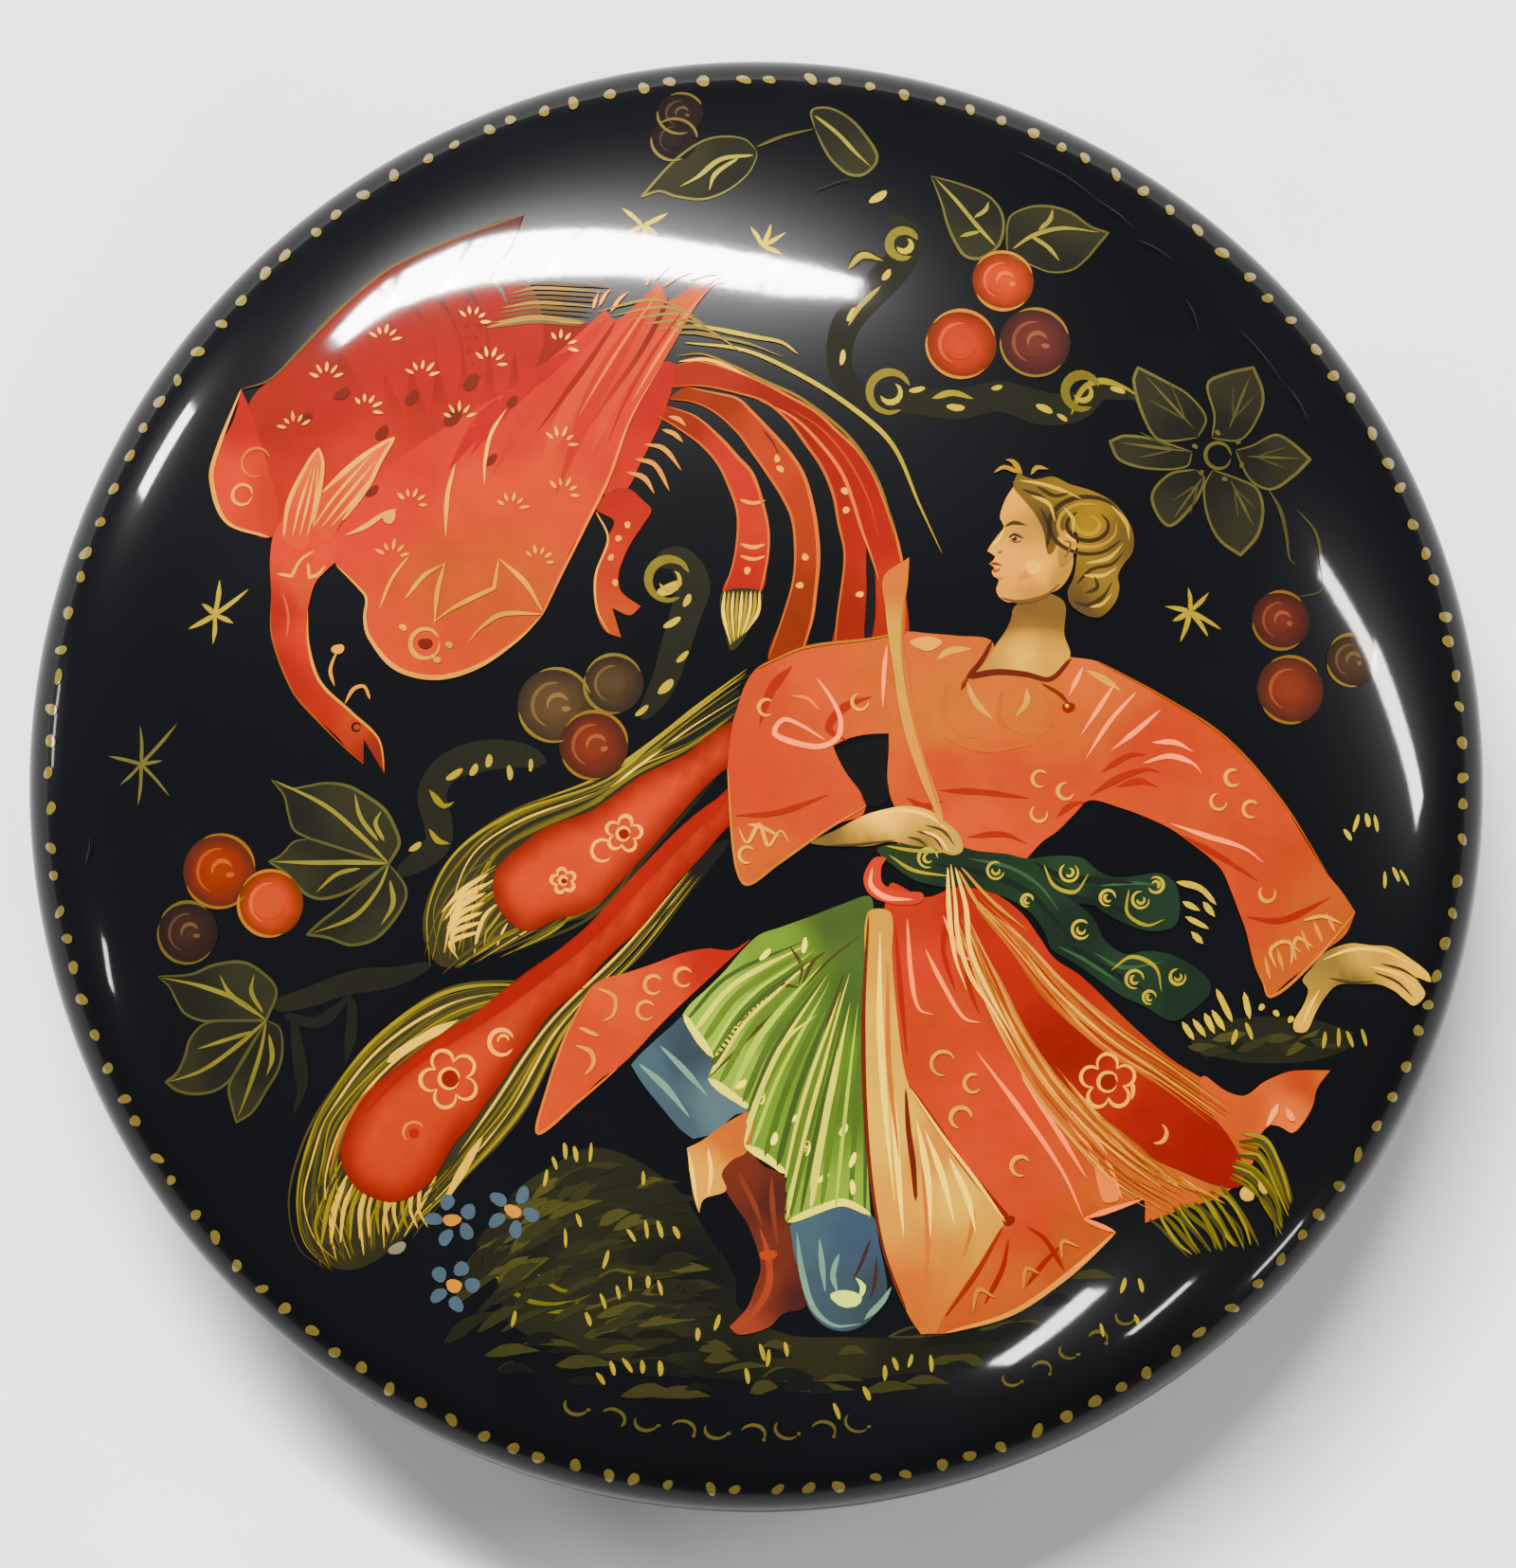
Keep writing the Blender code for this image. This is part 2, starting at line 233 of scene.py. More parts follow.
def black_lacquer(name, roughness=0.045, warmth=0.0):
    """Many thin coats of black oil lacquer."""
    material = bpy.data.materials.new(name)
    tree, shader = shader_of(material, roughness=0.25)
    cloud = noise(tree, 120.0, 4.0)
    colour = two_tones(tree, cloud.outputs["Fac"], (0.0011 + warmth, 0.0012, 0.0018),
                       (0.0019 + warmth, 0.0020, 0.0030), 0.35, 0.7)
    tree.links.new(colour, shader.inputs["Base Color"])
    polished_coat(tree, shader, roughness)
    shader.inputs["Specular IOR Level"].default_value = 0.06
    flat = add_node(tree, "ShaderNodeVectorMath", {0: place(tree), 1: (1.0, 1.0, 0.0)}, operation="MULTIPLY")
    away = add_node(tree, "ShaderNodeVectorMath", {0: flat.outputs["Vector"]}, operation="LENGTH")
    worn = ramp(tree, away.outputs["Value"], 1.0, 0.10, *(r * MM for r in WORN_EDGE))
    tree.links.new(worn, shader.inputs["Coat Weight"])
    return material


def metal(name, dark, light, rough, brush_scale, brushed):
    """Stamped or drawn metal: fine brushing along X, tarnish in patches, and a worn shine."""
    material = bpy.data.materials.new(name)
    tree, shader = shader_of(material, metallic=1.0)
    stretched = add_node(tree, "ShaderNodeMapping", {"Vector": place(tree), "Scale": brushed})
    lines = noise(tree, brush_scale, 4.0, 0.6, stretched.outputs["Vector"])
    patches = noise(tree, 420.0, 4.0, 0.6)
    pits = noise(tree, 3200.0, 2.0, 0.6)
    colour = two_tones(tree, patches.outputs["Fac"], dark, light, 0.3, 0.62)
    tree.links.new(colour, shader.inputs["Base Color"])
    worn = add_node(tree, "ShaderNodeMath", {0: patches.outputs["Fac"], 1: lines.outputs["Fac"]},
                    operation="ADD")
    tree.links.new(ramp(tree, worn.outputs[0], rough + 0.14, rough - 0.08, 0.6, 1.4),
                   shader.inputs["Roughness"])
    height = add_node(tree, "ShaderNodeMath", {0: pits.outputs["Fac"], 1: 0.6, 2: lines.outputs["Fac"]},
                      operation="MULTIPLY_ADD")
    rough_up(tree, shader.inputs["Normal"], height.outputs[0], 0.01, 0.6)
    return material


def pressed_card(name):
    """Layers of pressed, oiled card: brown, fibrous, banded by the sheets."""
    material = bpy.data.materials.new(name)
    tree, shader = shader_of(material, roughness=0.85)
    stretched = add_node(tree, "ShaderNodeMapping", {"Vector": place(tree), "Scale": (1, 1, 14)})
    sheets = noise(tree, 500.0, 4.0, 0.6, stretched.outputs["Vector"])
    colour = two_tones(tree, sheets.outputs["Fac"], (0.16, 0.10, 0.055), (0.42, 0.31, 0.19))
    tree.links.new(colour, shader.inputs["Base Color"])
    rough_up(tree, shader.inputs["Normal"], sheets.outputs["Fac"], 0.02)
    return material


def pale_floor(name):
    material = bpy.data.materials.new(name)
    tree, shader = shader_of(material, roughness=0.8)
    cloud = noise(tree, 60.0, 3.0)
    shade = ramp(tree, cloud.outputs["Fac"], 0.80, 0.90, 0.3, 0.7)
    colour = add_node(tree, "ShaderNodeCombineColor", {"Red": shade, "Green": shade, "Blue": shade})
    tree.links.new(colour.outputs["Color"], shader.inputs["Base Color"])
    return material


TEMPERA = painted("tempera")
GOLD = painted("gold_paint", metallic=0.3, roughness=0.42, depth=0.3)
FACE_BLACK = black_lacquer("face_lacquer_gloss")
BACK_BLACK = black_lacquer("back_lacquer_gloss", 0.12, 0.0006)


# ---- The dome ----------------------------------------------------------------------------------

def dome_height(x, y):
    inside = max(0.0, 1.0 - (x * x + y * y) / RADIUS**2)
    return RIM + HEIGHT * math.sqrt(inside)


def dome_normal(x, y):
    rise = max(dome_height(x, y) - RIM, 0.02 * HEIGHT)
    return Vector((x / RADIUS**2, y / RADIUS**2, rise / HEIGHT**2)).normalized()


def add_mesh(name, vertices, faces, material, smooth=True):
    mesh = bpy.data.meshes.new(name)
    mesh.from_pydata(vertices, [], faces)
    mesh.update()
    if smooth:
        mesh.shade_smooth()
    mesh.materials.append(material)
    made = bpy.data.objects.new(name, mesh)
    bpy.context.scene.collection.objects.link(made)
    return made


def turned_mesh(name, profile, segments, material):
    """A closed ring of faces turned about Z from a closed profile of (radius, height) in mm."""
    vertices, faces, rings = [], [], []
    for radius, height in profile:
        if radius < 1e-6:
            rings.append([len(vertices)] * segments)
            vertices.append((0.0, 0.0, height * MM))
            continue
        rings.append(list(range(len(vertices), len(vertices) + segments)))
        for i in range(segments):
            turn = math.tau * i / segments
            vertices.append((radius * math.cos(turn) * MM, radius * math.sin(turn) * MM, height * MM))
    for upper, lower in zip(rings, rings[1:] + rings[:1]):
        for i in range(segments):
            j = (i + 1) % segments
            corners = [upper[i], lower[i], lower[j], upper[j]]
            kept = [c for k, c in enumerate(corners) if c not in corners[:k]]
            if len(kept) > 2:
                faces.append(kept)
    return add_mesh(name, vertices, faces, material)


def shell_profile(inset, dome_steps, edge_steps):
    """The disc's outline from the crown to the back, or one lying inside it by the inset."""
    points = []
    for i in range(dome_steps + 1):
        turn = math.radians(90) * (1 - i / dome_steps)
        points.append(((RADIUS - inset) * math.cos(turn), RIM + (HEIGHT - inset) * math.sin(turn)))
    points[0] = (0.0, points[0][1])
    for i in range(1, edge_steps + 1):
        turn = math.radians(90) * i / edge_steps
        across = RADIUS - EDGE_ROUND + (EDGE_ROUND - inset) * math.cos(turn)
        points.append((across, RIM - (EDGE_DEPTH - inset) * math.sin(turn)))
    return points


def make_shell():
    outer = shell_profile(0.0, DOME_STEPS, EDGE_STEPS)
    inner = shell_profile(LACQUER, 24, 8)
    lip = [(outer[-1][0], BACK + 0.02), (outer[-1][0], inner[-1][1] - 0.02)]
    shell = turned_mesh("lacquer_shell", outer + lip + inner[::-1], SHELL_SEGMENTS, FACE_BLACK)
    shell.data.set_sharp_from_angle(angle=math.radians(50))
    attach(shell, "brooch")
    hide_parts("face_lacquer")


# ---- Brushwork ---------------------------------------------------------------------------------

GROUPS = {}


def around(x, y, radius, degrees, squash=1.0):
    """A point on a circle round (x, y), or on a circle squashed in height."""
    a = math.radians(degrees)
    return (x + radius * math.cos(a), y + radius * squash * math.sin(a))


def turned(x, y, u, v, lean):
    """The point (x, y), moved by (u, v) along axes that are turned by an angle in degrees."""
    a = math.radians(lean)
    return (x + u * math.cos(a) - v * math.sin(a), y + u * math.sin(a) + v * math.cos(a))


def smooth_line(points, closed=False, step=OUTLINE_STEP):
    """A curve through the points. A third value of 1 in a point makes a sharp corner there."""
    count = len(points)
    spots = [Vector(p[:2]) for p in points]
    sharp = [len(p) > 2 for p in points]
    line = []
    for i in range(count if closed else count - 1):
        a, b = spots[i], spots[(i + 1) % count]
        before = spots[i - 1] if (closed or i) and not sharp[i] else 2 * a - b
        after_known = (closed or i + 2 < count) and not sharp[(i + 1) % count]
        after = spots[(i + 2) % count] if after_known else 2 * b - a
        length = (b - a).length
        if length < 1e-9:
            continue
        start = (b - before) * length / max((b - a).length + (a - before).length, 1e-9)
        end = (after - a) * length / max((b - a).length + (after - b).length, 1e-9)
        parts = max(1, math.ceil(length / step))
        for k in range(parts):
            t = k / parts
            line.append(a * (2 * t**3 - 3 * t**2 + 1) + start * (t**3 - 2 * t**2 + t)
                        + b * (3 * t**2 - 2 * t**3) + end * (t**3 - t**2))
    if not closed:
        line.append(spots[-1])
    return line


def group(name, layer, finish=None):
    """Opens a group: the strokes that follow under this name make one object, on this layer."""
    GROUPS[name] = {"layer": layer, "finish": finish or TEMPERA, "strokes": 0,
                    "vertices": [], "faces": [], "colours": [], "normals": []}
    return name


def lay(name, spots, faces, colours):
    """Adds a flat patch to a group, bent onto the dome."""
    held = GROUPS[name]
    lift = FIRST_LIFT + held["layer"] * LAYER_STEP + (held["strokes"] % NUDGES) * NUDGE
    first = len(held["vertices"])
    for (x, y), colour in zip(spots, colours):
        far = math.hypot(x, y)
        if far > PAINT_REACH:
            x, y = x * PAINT_REACH / far, y * PAINT_REACH / far
        normal = dome_normal(x, y)
        held["vertices"].append((Vector((x, y, dome_height(x, y))) + normal * lift) * MM)
        held["normals"].append(normal)
        held["colours"] += [*colour, 1.0]
    held["faces"] += [[first + i for i in face] for face in faces]
    held["strokes"] += 1


def fill(name, outline, colour, spots=(), rim=None):
    """A filled shape. Spots of other colours blend into it, and a rim tints its edge to a width."""
    edge = smooth_line(outline, closed=True)
    if sum(p[0] * q[1] - q[0] * p[1] for p, q in zip(edge, edge[1:] + edge[:1])) < 0:
        edge.reverse()
    count = len(edge)
    low = [min(p[i] for p in edge) for i in (0, 1)]
    high = [max(p[i] for p in edge) for i in (0, 1)]
    loose = []
    rows = int((high[1] - low[1]) / GRID_STEP) + 1
    columns = int((high[0] - low[0]) / GRID_STEP) + 1
    if rows * columns > 3:
        for row in range(rows):
            for column in range(columns):
                shift = GRID_STEP / 2 if row % 2 else 0.0
                loose.append(Vector((low[0] + column * GRID_STEP + shift, low[1] + row * GRID_STEP)))
    points, _, faces, _, _, owners = delaunay_2d_cdt(
        edge + loose, [(i, (i + 1) % count) for i in range(count)], [list(range(count))], 1, 1e-5, True)
    faces = [face for face, owner in zip(faces, owners) if owner]
    base = pigment(colour)
    tints = [(x, y, pigment(tint)) for x, y, tint in spots]
    used = sorted({i for face in faces for i in face})
    renumber = {old: new for new, old in enumerate(used)}
    border = np.array([tuple(p) for p in edge])
    colours = []
    for i in used:
        x, y = points[i]
        shade = base
        if tints:
            weights = [1.0 / (0.15 + (x - tx) ** 2 + (y - ty) ** 2) ** 2 for tx, ty, _ in tints]
            total = sum(weights)
            shade = tuple(sum(w * tint[c] for w, (_, _, tint) in zip(weights, tints)) / total
                          for c in range(3))
        if rim:
            away = np.sqrt(((border - (x, y)) ** 2).sum(axis=1)).min()
            share = max(0.0, 1.0 - away / rim[1])
            shade = mixed(shade, pigment(rim[0]), share * share * (3 - 2 * share))
        colours.append(shade)
    lay(name, [tuple(points[i]) for i in used], [[renumber[i] for i in f] for f in faces], colours)


def stroke(name, points, width, colour, ends=(0.25, 0.25), fade=None):
    """One pull of the brush: a ribbon that swells from its start and thins to its end."""
    line = smooth_line(points, step=max(0.08, min(0.2, width)))
    count = len(line)
    if count < 3:
        line = [line[0], (line[0] + line[-1]) / 2, line[-1]]
        count = 3
    wobble = RNG.uniform(0.0, math.tau)
    swell = RNG.uniform(0.9, 1.12)
    spots, colours, faces = [], [], []
    first, last = pigment(colour), pigment(fade or colour)
    for i, spot in enumerate(line):
        t = i / (count - 1)
        before, after = line[max(i - 1, 0)], line[min(i + 1, count - 1)]
        along = (after - before).normalized() if (after - before).length > 1e-9 else Vector((1, 0))
        across = Vector((-along.y, along.x))
        press = min(1.0, ends[0] + (1 - ends[0]) * t / 0.3) * min(1.0, ends[1]
            + (1 - ends[1]) * (1 - t) / 0.4)
        round_off = math.sqrt(max(0.0, 1 - (2 * t - 1) ** 12))
        half = width / 2 * swell * press * max(round_off, 0.12) * (1 + 0.08 * math.sin(wobble + 9 * t))
        spots += [tuple(spot + across * half), tuple(spot), tuple(spot - across * half)]
        colours += [mixed(first, last, t)] * 3
        if i:
            k = 3 * i
            faces += [[k - 3, k, k + 1, k - 2], [k - 2, k + 1, k + 2, k - 1]]
    lay(name, spots, [face[::-1] for face in faces], colours)


def strokes(name, lines, width, colour, ends=(0.25, 0.25)):
    for line in lines:
        stroke(name, line, width, colour, ends)


def dab(name, x, y, long, wide, turn, colour):
    """One touch of the brush: a small uneven oval, its length at an angle in degrees."""
    phase = RNG.uniform(0.0, math.tau)
    spots = [(x, y)]
    for i in range(12):
        a = math.tau * i / 12
        uneven = 1 + 0.12 * math.sin(2 * a + phase) + 0.06 * math.sin(3 * a)
        u, v = long / 2 * math.cos(a) * uneven, wide / 2 * math.sin(a) * uneven
        spots.append(turned(x, y, u, v, turn))
    lay(name, spots, [[0, 1 + i, 1 + (i + 1) % 12] for i in range(12)], [pigment(colour)] * 13)


def dots(name, places, size, colour):
    for x, y in places:
        dab(name, x, y, size, size * 0.85, RNG.uniform(0, 180), colour)


def arc(name, x, y, radius, start, end, width, colour, squash=1.0, turn=0.0, ends=(0.5, 0.4)):
    """A stroke along part of a circle or, squashed and turned, of an oval. Angles in degrees."""
    oval = [around(0.0, 0.0, radius, start + (end - start) * i / 8, squash) for i in range(9)]
    stroke(name, [turned(x, y, u, v, turn) for u, v in oval], width, colour, ends)


def disc(name, x, y, radius, colour, squash=1.0, spots=(), rim=None):
    fill(name, [around(x, y, radius, a, squash) for a in range(0, 360, 30)], colour, spots, rim)


def outline(name, points, width, colour, closed=True, ends=(0.6, 0.6)):
    stroke(name, list(points) + ([points[0]] if closed else []), width, colour, ends)


def hairs(name, first, last, count, width, colours, ends=(0.3, 0.1), wander=0.1):
    """Fine parallel hairs that blend from one guide line to another with the same number of points."""
    for i in range(count):
        share = (i + RNG.uniform(-0.35, 0.35)) / max(count - 1, 1)
        line = [(a[0] + (b[0] - a[0]) * share + RNG.uniform(-wander, wander),
                 a[1] + (b[1] - a[1]) * share + RNG.uniform(-wander, wander)) for a, b in zip(first, last)]
        stroke(name, line, width * RNG.uniform(0.55, 1.05), colours[i % len(colours)], ends)


def hang_groups():
    """Turns every group of strokes into one object that lies on the disc."""
    for name, held in GROUPS.items():
        made = add_mesh(name, held["vertices"], held["faces"], held["finish"])
        mesh = made.data
        paint = mesh.color_attributes.new("paint", "FLOAT_COLOR", "POINT")
        paint.data.foreach_set("color", held["colours"])
        mesh.normals_split_custom_set_from_vertices(held["normals"])
        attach(made, "brooch")


# ---- The miniature -----------------------------------------------------------------------------
# Colours, as they look under the lacquer.

ORANGE = (243, 98, 38)
RED_ORANGE = (226, 76, 42)
RED = (205, 58, 42)
CRIMSON = (170, 42, 42)
PINK = (248, 178, 150)
GOLD_LEAF = (192, 172, 92)
BRIGHT_GOLD = (232, 208, 122)
OLIVE = (74, 68, 34)
DARK_OLIVE = (50, 48, 28)
LEAF = (60, 56, 32)
LINE_ON_RED = (240, 168, 84)
NIGHT = (16, 16, 20)


def paint_rim_dots():
    here = group("rim_dots", 2, GOLD)
    for i in range(RIM_DOTS):
        turn = 360 * (i + RNG.uniform(-0.18, 0.18)) / RIM_DOTS
        spot = around(0.0, 0.0, RIM_DOT_RING + RNG.uniform(-0.08, 0.08), turn)
        dab(here, *spot, RNG.uniform(0.36, 0.52), RNG.uniform(0.3, 0.42), RNG.uniform(0, 180),
            (175, 155, 95))


def paint_back_wing():
    here = group("bird_back_wing", 4)
    fill(here, [(-16.3, 7.9), (-16.9, 8.3), (-17.4, 9.0), (-17.6, 10.2), (-17.5, 11.6), (-17.1, 12.8),
        (-16.5, 13.4), (-15.4, 14.5), (-14.3, 15.65), (-13.2, 16.65), (-12.3, 17.3), (-11.5, 17.65),
        (-10.25, 18.2), (-8.9, 18.75), (-7.9, 19.0, 1), (-8.3, 17.9), (-8.95, 16.9), (-9.1, 15.6),
        (-8.9, 15.0, 1), (-7.2, 15.1), (-5.6, 15.05), (-5.4, 13.5), (-5.9, 11.4), (-7.0, 8.5), (-11.0, 7.5),
        (-14.0, 7.6)], CRIMSON, [(-16.6, 12.2, (190, 56, 45)), (-13.8, 15.0, (172, 44, 44)), (-10.5, 16.9,
        (150, 40, 42)), (-8.3, 18.5, (120, 36, 40)), (-14.5, 12.2, (196, 54, 44)), (-11.0, 13.6,
        (186, 48, 42)), (-7.5, 14.2, (176, 46, 42)), (-16.4, 9.4, (214, 68, 42)), (-13.6, 10.6,
        (222, 74, 42)), (-10.2, 11.4, (214, 64, 42)), (-7.2, 11.8, (206, 58, 42)), (-12.0, 9.0,
        (234, 84, 42)), (-15.0, 8.4, (226, 78, 42))])
    fill(here, [(-17.5, 13.1, 1), (-17.75, 12.0), (-18.25, 11.05), (-18.45, 10.0), (-18.3, 9.1),
        (-17.9, 8.5), (-17.1, 8.1), (-16.4, 7.9), (-16.1, 8.8), (-16.35, 9.9), (-16.7, 11.0),
        (-17.1, 12.2)], (230, 92, 42), [(-17.9, 9.6, (236, 96, 42)), (-16.5, 9.2, (222, 78, 42)), (-17.4,
        12.4, RED)])
    for shift in range(7):
        stroke(here, [(-14.2 + shift * 0.85, 15.3 + shift * 0.42), (-13.2 + shift * 0.9,
            13.8 + shift * 0.3), (-12.6 + shift * 0.8, 12.0)], 0.95, (184, 48, 42), (0.3, 0.1),
            (206, 60, 42))
    blots = group("bird_wing_blots", 6)
    for x, y, size in ((-10.2, 11.9, 0.8), (-11.6, 12.6, 0.6), (-9.6, 13.1, 0.7), (-12.6, 11.4, 0.6),
            (-8.2, 12.4, 0.5), (-14.0, 12.8, 0.6), (-12.9, 9.4, 0.5), (-8.9, 10.4, 0.5),
            (-15.2, 12.0, 0.5)):
        dab(blots, x, y, size, size * 0.6, 40, (150, 42, 36))
    edge = group("bird_back_wing_edge", 6, GOLD)
    stroke(edge, [(-17.5, 13.1), (-16.5, 13.4), (-15.4, 14.5), (-14.3, 15.65), (-13.2, 16.65),
        (-12.3, 17.3), (-10.25, 18.2), (-7.9, 19.0)], 0.13, (120, 84, 50), (0.5, 0.4))
    stroke(edge, [(-17.5, 13.1), (-18.25, 11.05), (-18.45, 10.0), (-17.9, 8.5), (-16.4, 7.9)], 0.14,
        LINE_ON_RED, (0.4, 0.6))
    arc(edge, -17.35, 9.4, 0.35, 0, 350, 0.13, LINE_ON_RED)
    arc(edge, -16.9, 10.5, 0.5, 20, 300, 0.1, (214, 120, 70))
    for i in range(9):
        y = 15.0 + i * 0.17
        stroke(edge, [(-9.0 + i * 0.1, y), (-7.4, y + 0.18), (-5.8 + i * 0.12, y - 0.02)], 0.12,
            [(120, 84, 46), (160, 120, 62), (96, 66, 40)][i % 3], (0.3, 0.1))
    stroke(edge, [(-9.1, 15.0), (-7.5, 15.3), (-5.8, 15.1)], 0.2, (168, 128, 70), (0.3, 0.5))


def paint_front_wing():
    here = group("bird_front_wing", 5)
    fill(here, [(-1.35, 16.5, 1), (-1.95, 15.8), (-2.5, 14.85), (-3.2, 13.6), (-3.75, 12.75), (-4.2, 11.8),
        (-4.57, 10.65), (-4.95, 9.7), (-5.4, 8.75), (-6.2, 7.3), (-6.55, 6.4), (-7.15, 5.1, 1),
        (-7.55, 4.7), (-7.95, 4.3), (-8.6, 3.8), (-9.3, 3.4), (-9.95, 3.2), (-10.7, 3.05), (-11.4, 3.15),
        (-12.05, 3.4), (-12.6, 3.9), (-12.95, 4.45), (-13.1, 5.1), (-13.05, 5.75), (-13.3, 6.1),
        (-14.1, 6.9, 1), (-14.2, 7.7), (-13.4, 9.0), (-12.4, 10.2), (-11.0, 11.2), (-9.4, 12.2),
        (-8.0, 13.0), (-6.9, 13.9), (-5.6, 15.1), (-5.1, 15.6, 1), (-4.75, 15.2), (-4.0, 15.8),
        (-3.25, 16.6, 1), (-2.95, 15.9), (-2.1, 16.4)], ORANGE, [(-2.2, 15.9, (246, 120, 70)), (-3.6, 14.6,
        (240, 96, 46)), (-5.2, 14.0, (232, 84, 42)), (-6.6, 12.8, (226, 76, 42)), (-5.2, 11.4,
        (236, 88, 40)), (-8.6, 11.4, (228, 78, 42)), (-11.4, 10.0, (230, 80, 42)), (-12.8, 8.2,
        (236, 86, 40)), (-9.5, 9.0, (243, 98, 38)), (-7.0, 9.4, (243, 98, 38)), (-8.4, 6.4, (246, 104, 40)),
        (-10.8, 6.0, (246, 104, 40)), (-12.2, 5.4, (240, 94, 40)), (-10.6, 4.0, (243, 98, 38))])
    for start, end, colour in (((-5.0, 15.3), (-8.9, 9.8), RED_ORANGE), ((-4.2, 15.3), (-7.6, 9.0), ORANGE),
                               ((-3.5, 15.9), (-6.7, 9.2), RED_ORANGE), ((-3.0, 14.9), (-5.6, 10.4), ORANGE),
                               ((-6.1, 14.2), (-9.6, 10.6), RED), ((-7.2, 13.2), (-10.4, 10.0), RED)):
        x, y = mixed(start, end, 0.5)
        stroke(here, [start, (x - 0.25, y + 0.25), end], 0.55, colour, (0.35, 0.05))
    folds = group("bird_feather_lines", 6)
    stroke(folds, [(-2.95, 15.95), (-3.45, 14.9), (-4.0, 13.9), (-4.9, 12.6), (-5.7, 11.4)], 0.2,
        (120, 34, 34), (0.7, 0.05), (226, 80, 40))
    stroke(folds, [(-4.75, 15.15), (-5.6, 13.8), (-6.6, 12.4), (-7.4, 11.3)], 0.16, (180, 50, 40),
        (0.6, 0.05))
    stroke(folds, [(-1.6, 16.3), (-2.4, 15.3), (-3.3, 13.9), (-4.2, 12.3)], 0.12, (250, 150, 96), (0.4, 0.1))
    stroke(folds, [(-3.2, 16.3), (-4.1, 15.0), (-5.1, 13.4), (-6.0, 11.8)], 0.12, (250, 140, 84), (0.4, 0.1))
    stroke(folds, [(-2.5, 15.5), (-3.4, 14.2), (-4.4, 12.4), (-5.0, 10.9)], 0.1, (206, 62, 40), (0.4, 0.1))
    for a, b in (((-3.4, 16.6), (-2.9, 17.1)), ((-3.1, 16.4), (-2.1, 16.9)), ((-2.2, 16.6), (-1.3, 16.8)),
                 ((-1.9, 16.4), (-1.0, 16.5)), ((-5.3, 15.7), (-4.9, 16.3)), ((-5.5, 15.6), (-5.3, 16.2)),
                 ((-4.9, 15.5), (-4.3, 16.2)), ((-3.7, 16.4), (-3.5, 17.0))):
        x, y = mixed(a, b, 0.5)
        stroke(folds, [a, (x, y + 0.1), b], 0.12, (246, 196, 150), (0.5, 0.1))


